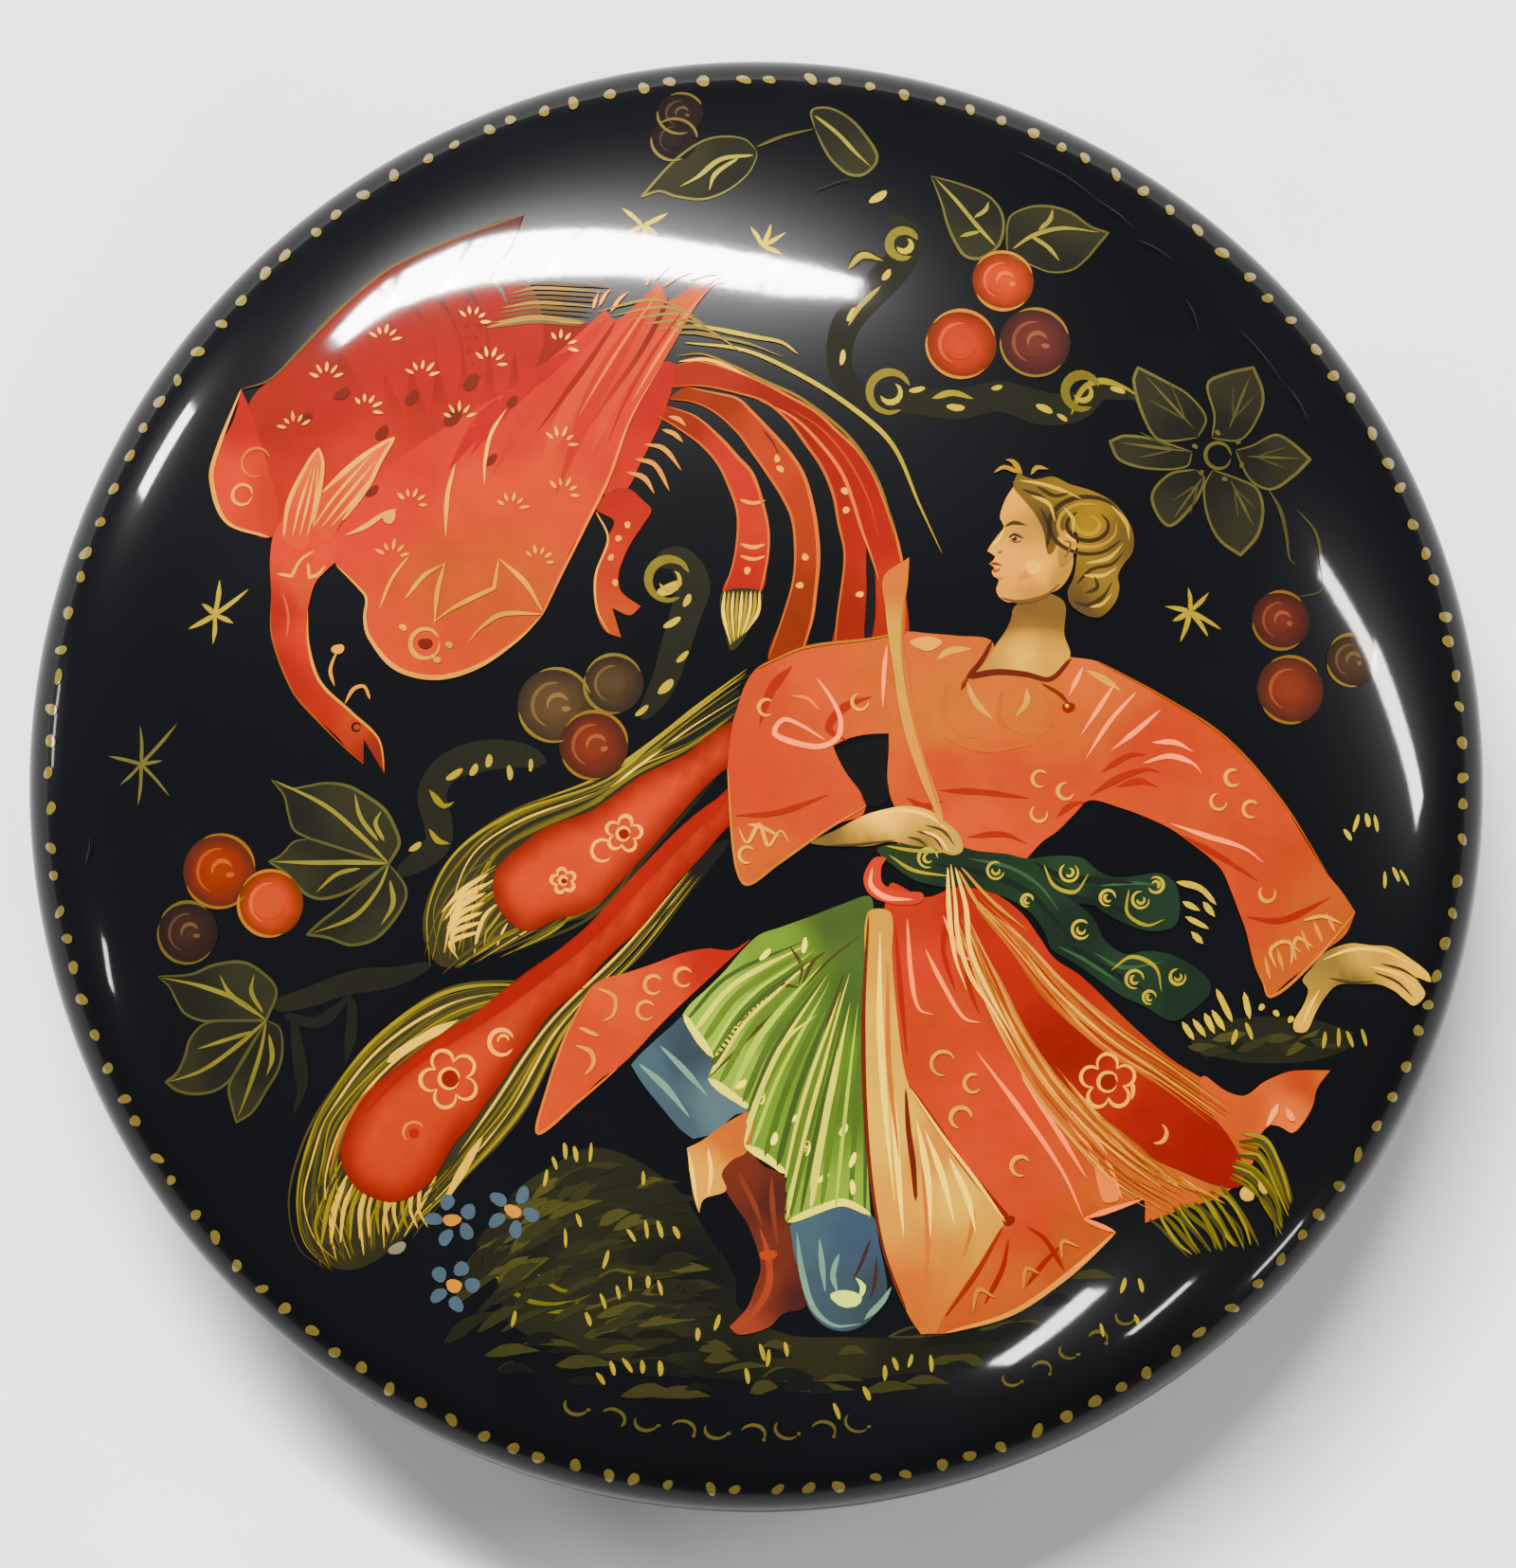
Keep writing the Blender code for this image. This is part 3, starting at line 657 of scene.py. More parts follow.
def paint_neck_and_head():
    here = group("bird_neck", 6)
    fill(here, [(-16.35, 7.4), (-16.3, 5.8), (-16.3, 4.7), (-16.0, 3.6), (-15.55, 2.7), (-14.9, 1.9),
        (-14.0, 1.1), (-13.55, 0.55), (-13.1, 0.15, 1), (-13.1, 1.0, 1), (-12.4, -0.15, 1), (-12.4, 0.35),
        (-12.6, 1.0), (-12.97, 1.47), (-13.55, 1.93), (-14.1, 2.4), (-14.6, 2.96), (-14.87, 3.5),
        (-15.0, 4.2), (-15.08, 4.95), (-15.0, 5.6), (-14.8, 6.3), (-14.45, 6.7), (-14.0, 7.2), (-14.2, 8.4),
        (-15.2, 8.9), (-16.1, 8.3)], RED_ORANGE, [(-16.2, 5.5, (196, 56, 42)), (-15.7, 3.3, (196, 56, 42)),
        (-14.3, 1.6, (200, 60, 44)), (-15.2, 6.4, (240, 96, 42)), (-14.95, 4.3, (232, 84, 42)), (-13.6, 1.7,
        (226, 86, 56)), (-12.6, 0.4, (170, 52, 46)), (-15.2, 8.0, (238, 90, 42))])
    lines = group("bird_neck_lines", 7, GOLD)
    outline(lines, [(-15.05, 5.4), (-15.0, 4.2), (-14.6, 2.96), (-13.55, 1.93), (-12.6, 1.0),
        (-12.4, -0.1)], 0.11, LINE_ON_RED, False, (0.2, 0.3))
    outline(lines, [(-16.3, 5.8), (-16.25, 4.5), (-15.55, 2.7), (-14.9, 1.9), (-13.6, 0.6), (-13.1, 0.2)],
        0.07, (190, 110, 70), False, (0.2, 0.3))
    stroke(lines, [(-14.1, 2.8), (-14.25, 3.3), (-14.15, 3.7), (-14.0, 4.0)], 0.12, LINE_ON_RED)
    dab(lines, -14.0, 4.05, 0.42, 0.36, 20, LINE_ON_RED)
    stroke(lines, [(-13.75, 2.2), (-13.45, 2.7), (-13.1, 2.78), (-12.9, 2.35)], 0.12, LINE_ON_RED,
        (0.4, 0.7))
    stroke(lines, [(-16.1, 6.65), (-15.6, 6.55, 1), (-15.3, 7.1), (-14.85, 7.4)], 0.12, LINE_ON_RED,
        (0.7, 0.5))
    stroke(lines, [(-15.05, 7.0), (-15.0, 6.5, 1), (-14.7, 6.6), (-14.45, 6.9)], 0.12, LINE_ON_RED,
        (0.7, 0.5))
    stroke(lines, [(-15.9, 6.0), (-15.7, 5.2), (-15.75, 4.4)], 0.1, (226, 120, 70))
    arc(lines, -13.35, 1.42, 0.14, 0, 350, 0.07, NIGHT)
    crest = group("bird_crest", 7)
    for leaf in ([(-14.75, 10.95, 1), (-15.1, 10.45), (-15.5, 9.8), (-15.75, 9.05), (-15.95, 7.9),
            (-15.2, 7.4), (-14.9, 8.2), (-14.75, 9.05), (-14.6, 9.8), (-14.6, 10.4)], [(-12.15, 11.25, 1),
            (-12.8, 10.9), (-13.55, 10.35), (-14.1, 9.95), (-14.6, 9.4), (-15.0, 8.3), (-14.4, 7.7),
            (-13.9, 8.4), (-13.4, 9.0), (-13.0, 9.65), (-12.65, 10.4)]):
        fill(crest, leaf, (238, 92, 42), [(leaf[0][0], leaf[0][1], (244, 130, 60)), (-14.9, 8.2, ORANGE)])
    marks = group("bird_crest_lines", 8, GOLD)
    outline(marks, [(-15.9, 7.9), (-15.75, 9.05), (-15.1, 10.45), (-14.75, 10.95)], 0.15, LINE_ON_RED, False)
    outline(marks, [(-14.75, 10.95), (-14.6, 10.4), (-14.7, 9.4), (-14.9, 8.3)], 0.13, LINE_ON_RED, False)
    outline(marks, [(-14.6, 9.4), (-13.55, 10.35), (-12.8, 10.9), (-12.15, 11.25)], 0.16, LINE_ON_RED, False)
    outline(marks, [(-13.9, 8.4), (-13.0, 9.65), (-12.65, 10.4), (-12.15, 11.25)], 0.14, LINE_ON_RED, False)
    for k in range(3):
        stroke(marks, [(-14.9 + 0.3 * k, 8.2), (-14.2 + 0.3 * k, 9.2 - 0.1 * k), (-12.9 + 0.12 * k,
            10.7 - 0.25 * k)], 0.1, LINE_ON_RED, (0.3, 0.2))
        stroke(marks, [(-15.6 + 0.25 * k, 7.9), (-15.35 + 0.25 * k, 9.0), (-14.95 + 0.1 * k, 10.3)], 0.1,
            LINE_ON_RED, (0.3, 0.2))
    stroke(marks, [(-13.8, 7.9), (-13.1, 8.2), (-12.5, 8.6), (-12.05, 8.75)], 0.18, LINE_ON_RED, (0.3, 0.8))
    dab(marks, -12.3, 8.5, 0.5, 0.4, 20, LINE_ON_RED)


def paint_wing_gold():
    here = group("bird_wing_gold", 8, GOLD)
    line = LINE_ON_RED
    outline(here, [(-7.15, 5.1), (-7.95, 4.3), (-9.3, 3.4), (-10.7, 3.05), (-12.05, 3.4), (-12.95, 4.45),
        (-13.1, 5.1), (-13.05, 5.75), (-13.3, 6.1), (-14.1, 6.9)], 0.17, line, False, (0.5, 0.3))
    outline(here, [(-7.15, 5.1), (-6.55, 6.4), (-5.67, 8.2), (-4.95, 9.7), (-4.2, 11.8), (-3.2, 13.6)], 0.1,
        (236, 140, 66), False, (0.8, 0.1))
    strokes(here, [[(-11.75, 5.7, 1), (-11.1, 6.5), (-10.4, 6.9)], [(-10.4, 6.95), (-10.65, 6.0),
        (-10.75, 4.8)], [(-8.6, 7.05), (-8.75, 6.05, 1), (-10.1, 5.4), (-10.8, 4.9)]], 0.14, line)
    stroke(here, [(-7.1, 5.15), (-8.5, 5.15), (-9.25, 4.65), (-9.6, 4.2)], 0.15, line)
    stroke(here, [(-8.6, 7.05), (-7.7, 6.2), (-7.1, 5.2)], 0.14, line)
    arc(here, -11.05, 4.2, 0.5, 20, 370, 0.16, line)
    dab(here, -11.05, 4.2, 0.45, 0.4, 0, (150, 40, 36))
    dots(here, [(-11.8, 4.75), (-10.25, 4.15), (-10.65, 3.65)], 0.26, line)
    stroke(here, [(-12.6, 5.4), (-12.2, 6.4), (-11.6, 7.2)], 0.12, line)
    stroke(here, [(-8.4, 12.15), (-8.9, 11.3), (-9.1, 10.3), (-9.1, 9.55)], 0.14, line, (0.2, 0.2))
    stroke(here, [(-10.1, 10.3), (-10.35, 9.2), (-10.4, 7.75)], 0.14, line, (0.2, 0.2))
    for x, y, lean in ((-14.55, 13.3, 20), (-13.2, 12.2, -10), (-11.3, 13.3, 15), (-9.0, 13.7, 0),
            (-10.0, 11.8, 20), (-6.6, 14.3, -15), (-6.6, 10.9, 0), (-8.2, 8.7, 10), (-6.5, 9.2, -5),
            (-12.2, 7.1, 15), (-7.3, 6.9, 0), (-15.6, 11.6, 30), (-12.6, 14.6, 10), (-11.6, 8.9, 0),
            (-9.6, 15.2, 0)):
        for k in range(5):
            far = 0.28 + 0.34 * RNG.uniform(0.8, 1.2)
            stroke(here, [around(x, y, r, lean + 34 * k) for r in (0.28, far)], 0.11, line, (0.9, 0.4))


def paint_bird_body():
    here = group("bird_underside", 4)
    fill(here, [(-2.7, 13.6), (-3.2, 13.7), (-4.6, 11.2), (-5.2, 9.4), (-4.9, 9.1), (-4.3, 9.4),
        (-3.9, 10.2), (-3.5, 11.0), (-3.1, 11.9)], (150, 42, 36), [(-2.9, 13.4, RED), (-4.8, 9.6,
        RED_ORANGE)])
    fill(here, [(-5.35, 8.7), (-4.9, 9.3), (-4.3, 9.4), (-3.75, 8.95), (-3.5, 8.65), (-3.75, 8.2),
        (-4.15, 7.6), (-4.4, 7.1), (-4.6, 6.45), (-4.5, 5.9), (-3.85, 5.4, 1), (-4.2, 5.1), (-4.8, 5.35, 1),
        (-4.5, 4.35, 1), (-5.0, 4.55), (-5.3, 5.1), (-5.4, 5.7), (-5.4, 6.45), (-5.1, 7.3), (-4.9, 7.85),
        (-4.75, 8.3)], RED_ORANGE, [(-4.6, 9.0, (200, 60, 42)), (-4.9, 6.4, (222, 80, 44)), (-4.7, 4.9,
        (206, 96, 60))])
    line = group("bird_underside_gold", 6, GOLD)
    strokes(line, [[(-3.15, 11.4), (-2.75, 11.25), (-2.45, 10.95)], [(-3.75, 10.9), (-3.1, 10.75),
        (-2.5, 10.0)], [(-4.05, 10.4), (-3.4, 10.2), (-2.9, 9.3)], [(-4.35, 9.95), (-3.75, 9.75),
        (-3.4, 9.2)], [(-2.95, 11.85), (-2.6, 11.75), (-2.35, 11.5)]], 0.17, (214, 150, 84), (0.4, 0.2))
    dots(line, [(-4.3, 8.15), (-4.6, 7.7), (-4.85, 7.05), (-4.7, 6.2)], 0.24, LINE_ON_RED)
    outline(line, [(-5.35, 8.6), (-4.95, 7.7), (-5.35, 6.45), (-5.3, 5.3), (-4.9, 4.5)], 0.08, LINE_ON_RED,
        False)


def tail_band(name, outer, inner, colour, spots, edge):
    fill(name, outer + inner[::-1], colour, spots)
    stroke(edge, outer, 0.12, (234, 130, 70), (0.3, 0.6))
    stroke(edge, inner, 0.09, (214, 120, 70), (0.3, 0.6))


def paint_arching_tail():
    here = group("tail_arch", 3)
    edge = group("tail_arch_edges", 5)
    tail_band(here, [(-2.7, 13.6), (-1.97, 13.75), (-1.0, 13.5), (0.13, 13.05), (1.07, 12.55), (2.0, 12.0),
        (2.75, 11.3), (3.42, 10.65), (3.9, 9.9), (4.27, 9.0), (4.55, 8.15), (4.8, 7.2), (4.95, 6.2),
        (4.9, 4.0)], [(-2.9, 12.9), (-1.8, 12.9), (-0.6, 12.65), (0.3, 12.35), (1.07, 11.7), (1.7, 10.85),
        (2.2, 10.1), (2.58, 9.15), (2.75, 8.2), (2.95, 7.1), (2.7, 5.0), (2.6, 3.9)], (170, 44, 40), [(-2.3,
        13.3, (190, 60, 46)), (1.5, 12.0, (176, 44, 40)), (3.2, 10.0, (190, 50, 42)), (3.9, 8.0,
        (196, 56, 42)), (3.3, 5.4, (180, 50, 42)), (4.5, 6.0, (206, 70, 46))], edge)
    tail_band(here, [(-2.35, 12.85), (-1.4, 12.65), (-0.63, 12.45), (-0.15, 12.0), (0.5, 11.3),
        (1.07, 10.65), (1.55, 9.9), (1.83, 9.0), (2.0, 8.05), (2.07, 7.0), (1.97, 5.85), (1.85, 4.95),
        (1.5, 3.8)], [(-2.9, 12.45), (-2.15, 12.35), (-1.4, 12.0), (-0.63, 11.3), (-0.15, 10.65),
        (0.3, 10.0), (0.87, 9.1), (1.2, 8.35), (1.3, 7.4), (1.25, 6.35), (0.97, 5.3), (0.4, 3.6)],
        (190, 72, 44), [(-2.0, 12.5, (176, 60, 42)), (0.6, 10.4, (206, 84, 50)), (1.6, 8.4, (196, 76, 46)),
        (1.5, 5.0, (170, 60, 42))], edge)
    tail_band(here, [(-3.0, 12.2), (-2.05, 11.85), (-1.2, 11.1), (-0.63, 10.45), (-0.15, 9.9), (0.2, 8.9),
        (0.4, 7.95), (0.37, 7.0), (0.13, 5.85)], [(-3.4, 11.95), (-2.55, 11.4), (-1.87, 10.9),
        (-1.3, 10.25), (-0.93, 9.5), (-0.63, 8.6), (-0.63, 7.65), (-0.8, 6.7), (-1.1, 5.85)], (222, 78, 44),
        [(-2.6, 11.7, (180, 56, 42)), (-0.9, 10.2, (214, 74, 46)), (-0.2, 8.0, (226, 80, 46)), (-0.5, 6.4,
        (204, 60, 42))], edge)
    stroke(here, [(3.7, 7.6), (3.82, 6.4), (3.8, 5.2), (3.7, 4.2)], 0.3, (30, 20, 18), (0.1, 0.9))
    stroke(edge, [(0.0, 12.45), (1.25, 11.8), (2.2, 10.85), (2.87, 9.9), (3.23, 8.95), (3.5, 8.05),
        (3.8, 7.2), (4.1, 6.25)], 0.13, (236, 140, 76), (0.2, 0.3))
    stroke(edge, [(1.0, 12.2), (2.2, 11.4), (3.1, 10.3), (3.75, 9.0), (4.1, 7.6)], 0.1, (214, 90, 60),
        (0.2, 0.2))
    for y in (9.0, 7.5, 7.1):
        stroke(edge, [(-0.55, y), (-0.1, y - 0.12), (0.3, y - 0.02)], 0.13, (244, 170, 96), (0.6, 0.6))
    dots(edge, [(0.7, 10.4), (0.8, 10.05), (2.95, 9.3), (3.0, 8.65), (1.63, 7.05), (1.45, 6.1), (3.45, 5.8),
        (-0.3, 6.6)], 0.26, (246, 184, 100))
    tassel = group("tail_tassel", 4, GOLD)
    fill(tassel, [(-1.1, 5.9), (0.15, 5.9), (0.1, 5.2), (-0.2, 4.7), (-0.55, 4.1), (-0.85, 3.9),
        (-1.0, 4.4), (-1.2, 5.2)], OLIVE)
    for k in range(9):
        x = -1.05 + k * 0.145
        stroke(tassel, [(x, 5.9), (x - 0.05, 5.2), (-0.85 + k * 0.06, 4.1 + 0.05 * k)], 0.1, GOLD_LEAF
            if k % 2 else BRIGHT_GOLD, (0.6, 0.3))
    gold = group("tail_gold_arcs", 6, GOLD)
    stroke(gold, [(-2.65, 13.95), (-1.8, 14.0), (-0.8, 13.6), (0.3, 13.05), (1.45, 12.5), (2.75, 11.5),
        (3.5, 10.65), (4.1, 9.6), (4.45, 8.55), (4.7, 7.4)], 0.12, (150, 116, 60), (0.4, 0.3))
    stroke(gold, [(-2.4, 14.4), (-0.45, 14.15), (1.25, 13.4), (3.15, 12.2), (4.55, 10.9), (5.45, 8.85),
        (6.2, 7.2)], 0.16, GOLD_LEAF, (0.4, 0.2))
    stroke(gold, [(-2.15, 15.05), (-0.07, 14.6), (0.87, 14.4), (1.4, 14.0)], 0.16, GOLD_LEAF, (0.3, 0.4))
    stroke(gold, [(-2.3, 14.75), (-0.4, 14.4), (0.9, 13.9)], 0.1, (140, 120, 66), (0.3, 0.2))
    stroke(gold, [(-2.6, 13.75), (-1.6, 13.8), (-0.2, 13.2)], 0.12, LINE_ON_RED, (0.3, 0.2))
    for k in range(6):
        stroke(gold, [(-5.4 + 0.5 * k, 15.5 - 0.15 * k), (-3.4 + 0.4 * k, 15.9 - 0.25 * k), (-2.0 + 0.3 * k,
            15.3 - 0.25 * k)], 0.1, (150, 122, 66), (0.2, 0.2))


def rosette(name, x, y, size, turn):
    """A small flower of five loops round a dark eye."""
    for k in range(5):
        way = turn + 72 * k
        arc(name, *around(x, y, size * 0.62, way), size * 0.36, way - 120, way + 120, 0.13, (246, 186, 112))
    dab(name, x, y, size * 0.6, size * 0.5, turn, (176, 44, 30))
    arc(name, x, y, size * 0.34, 0, 340, 0.12, (246, 186, 112))


def paint_plumes():
    here = group("tail_plumes", 3)
    upper = [(-0.7, 1.5), (-1.5, 1.15), (-2.3, 0.5), (-3.1, 0.1), (-3.9, -0.3), (-4.65, -0.85),
        (-5.45, -1.4), (-6.25, -1.7), (-7.05, -2.0), (-7.75, -2.5), (-8.3, -2.95), (-8.7, -3.5),
        (-8.75, -4.05), (-8.65, -4.5), (-8.25, -5.05), (-7.75, -5.4), (-7.3, -5.35), (-6.65, -5.05),
        (-5.85, -4.85), (-5.2, -4.5), (-4.65, -3.95), (-4.1, -3.35), (-3.5, -2.7), (-2.85, -1.95),
        (-2.2, -1.2), (-1.65, -0.6), (-1.15, -0.15), (-0.6, 0.3)]
    fill(here, upper, ORANGE, rim=((168, 40, 36), 0.85))
    lower = [(-0.6, -0.5), (-1.5, -1.2), (-2.3, -1.85), (-3.1, -2.65), (-3.9, -3.45), (-5.05, -4.85),
        (-5.7, -5.35), (-6.65, -6.1), (-7.6, -6.75), (-8.5, -7.45), (-9.45, -8.2), (-10.4, -8.75),
        (-11.5, -9.55), (-12.5, -10.3), (-13.2, -11.05), (-13.65, -11.9), (-13.9, -12.75), (-13.75, -13.4),
        (-13.3, -14.0), (-12.6, -14.35), (-11.95, -14.4), (-11.3, -14.1), (-10.75, -13.6), (-10.4, -13.05),
        (-10.0, -12.4), (-9.45, -11.8), (-9.0, -11.15), (-8.5, -10.5), (-7.95, -9.65), (-7.4, -8.95),
        (-6.85, -8.2), (-5.8, -7.3), (-5.25, -6.65), (-4.6, -6.0), (-3.85, -5.35), (-3.3, -4.7),
        (-2.7, -3.9), (-1.9, -3.05), (-1.25, -2.3), (-0.6, -1.5)]
    fill(here, lower, (243, 94, 34), rim=((178, 42, 32), 0.95))
    stroke(here, [(-0.9, -0.9), (-2.3, -2.1), (-3.9, -3.75), (-5.7, -5.65), (-8.5, -7.8), (-11.5, -9.9),
        (-13.2, -11.6)], 0.5, (196, 52, 36), (0.8, 0.1))
    marks = group("plume_rosettes", 5)
    rosette(marks, -4.4, -2.2, 0.62, 10)
    arc(marks, -5.1, -2.75, 0.36, 40, 320, 0.13, (246, 186, 112))
    rosette(marks, -6.4, -3.75, 0.42, 30)
    rosette(marks, -10.2, -10.3, 1.0, 40)
    arc(marks, -8.45, -9.1, 0.42, 20, 330, 0.15, (246, 186, 112))
    arc(marks, -8.4, -9.05, 0.18, 0, 200, 0.1, (246, 186, 112))
    dab(marks, -11.4, -12.1, 0.36, 0.3, 0, (206, 60, 36))
    arc(marks, -11.4, -12.1, 0.36, 30, 230, 0.12, (246, 150, 80))


def paint_plume_hair():
    """Gold filaments that fan along both sides of each hanging plume."""
    veil = group("plume_veil", 0)
    fill(veil, [(-0.6, 2.6), (-2.2, 1.6), (-4.2, 0.3), (-6.6, -0.95), (-8.3, -1.5), (-9.7, -2.6),
        (-10.8, -4.0), (-11.1, -5.5), (-10.4, -6.6), (-8.6, -5.9), (-6.6, -5.2), (-5.0, -4.7), (-3.6, -3.0),
        (-1.0, 0.2)], (52, 46, 26), [(-2.0, 1.5, (34, 32, 22)), (-9.8, -5.0, (74, 66, 30)), (-6, -1.5,
        (60, 52, 28))])
    fill(veil, [(-9.4, -7.3), (-11.6, -8.2), (-13.4, -9.7), (-14.5, -11.4), (-15.2, -13.3), (-15.4, -15.1),
        (-14.8, -16.3), (-13.6, -16.7), (-12.2, -16.0), (-10.6, -14.4), (-9.0, -12.9), (-7.6, -11.2),
        (-6.3, -8.9), (-4.6, -6.6), (-2.4, -4.4), (-0.9, -2.4), (-3.0, -3.6), (-6.0, -7.2)], (50, 45, 25),
        [(-13.0, -15.4, (66, 60, 28)), (-11.0, -8.3, (84, 78, 36)), (-3, -5, (30, 28, 20))])
    here = group("plume_hairs", 1, GOLD)
    tones = [(120, 106, 54), GOLD_LEAF, (150, 132, 66), (96, 84, 42), BRIGHT_GOLD, (134, 118, 60)]
    hairs(here, [(-0.25, 3.2), (-1.9, 2.05), (-3.45, 0.8), (-5.05, -0.3), (-8.25, -1.45), (-10.1, -2.9),
        (-11.15, -4.8), (-10.9, -6.5)], [(-0.8, 1.6), (-2.3, 0.65), (-3.9, -0.15), (-5.45, -1.25),
        (-7.4, -2.1), (-8.6, -2.9), (-9.3, -4.2), (-9.6, -6.2)], 9, 0.13, tones)
    hairs(here, [(-8.7, -3.0), (-9.6, -3.6), (-10.5, -4.7), (-11.0, -6.3)], [(-8.2, -5.1), (-8.5, -5.5),
        (-8.7, -5.8), (-8.6, -6.0)], 17, 0.13, tones, (0.4, 0.2))
    hairs(here, [(-7.6, -5.45), (-8.6, -5.6), (-9.6, -6.1), (-10.4, -6.75)], [(-3.9, -3.2), (-4.8, -4.3),
        (-5.9, -5.1), (-7.8, -6.0)], 10, 0.12, tones, (0.4, 0.2))
    hairs(here, [(-5.4, -7.3), (-9.85, -7.25), (-12.5, -8.75), (-14.6, -11.25), (-15.25, -13.05),
        (-15.6, -14.6), (-15.2, -16.0), (-14.2, -16.7)], [(-6.0, -7.2), (-9.6, -8.5), (-12.0, -10.2),
        (-13.6, -12.0), (-14.0, -13.2), (-14.0, -14.2), (-13.8, -15.2), (-13.4, -16.2)], 14, 0.14, tones)
    hairs(here, [(-13.9, -12.9), (-14.6, -14.0), (-15.0, -15.2), (-14.5, -16.6)], [(-10.6, -13.6),
        (-10.9, -14.3), (-11.2, -14.9), (-11.6, -15.6)], 24, 0.13, tones, (0.4, 0.25))
    hairs(here, [(-1.8, -3.5), (-3.75, -6.1), (-6.2, -8.45), (-7.7, -11.4), (-9.9, -13.8), (-11.6, -15.4)],
        [(-2.3, -3.5), (-4.3, -5.9), (-6.9, -8.6), (-8.8, -11.3), (-10.3, -13.2), (-11.4, -14.5)], 11, 0.13,
        tones, (0.1, 0.3))
    bright = group("plume_bright_hairs", 2, GOLD)
    stroke(bright, [(-9.9, -8.35), (-10.8, -8.8), (-11.5, -9.2), (-12.3, -9.75)], 0.34, BRIGHT_GOLD,
        (0.1, 0.9))
    stroke(bright, [(-0.3, 3.3), (-1.9, 2.1), (-3.6, 0.75), (-5.1, -0.25), (-7.4, -1.15)], 0.13, GOLD_LEAF)
    for k in range(7):
        stroke(bright, [(-8.9 - 0.05 * k, -3.5 - 0.32 * k), (-9.7 - 0.08 * k, -4.0 - 0.3 * k),
            (-10.5 + 0.1 * k, -4.8 - 0.26 * k)], 0.17, BRIGHT_GOLD, (0.5, 0.15))
    for k in range(12):
        x = -14.0 + 0.28 * k
        stroke(bright, [(x, -13.6 - 0.09 * k + 0.02 * k * k), (x - 0.35, -14.6), (x - 0.6 + 0.05 * k,
            -15.9 + 0.06 * k)], 0.14, BRIGHT_GOLD if k % 3 else GOLD_LEAF, (0.3, 0.4))
    stroke(bright, [(-12.6, -10.4), (-13.3, -11.1), (-13.9, -12.2), (-14.3, -13.6)], 0.13, (214, 140, 84),
        (0.2, 0.2))
    stroke(bright, [(-9.1, -12.2), (-9.7, -13.2), (-10.4, -14.4)], 0.26, BRIGHT_GOLD, (0.3, 0.5))


# The figure: a young dancer in a belted coat, who holds the bird's caught plume.

COAT = (240, 100, 42)
CHEST = (242, 128, 44)
FOLD = (212, 66, 36)
SASH = (42, 72, 44)
SASH_DARK = (26, 44, 30)
SKIN = (216, 170, 106)
HAND = (188, 158, 98)
HAND_LIGHT = (236, 208, 154)
HAIR = (168, 132, 70)
HAIR_DARK = (92, 62, 36)
GREEN = (142, 160, 80)
PALE_GREEN = (222, 222, 142)
TROUSER = (98, 120, 130)
BOOT = (125, 45, 40)
PANEL = (228, 150, 44)
PANEL_LIGHT = (240, 192, 84)


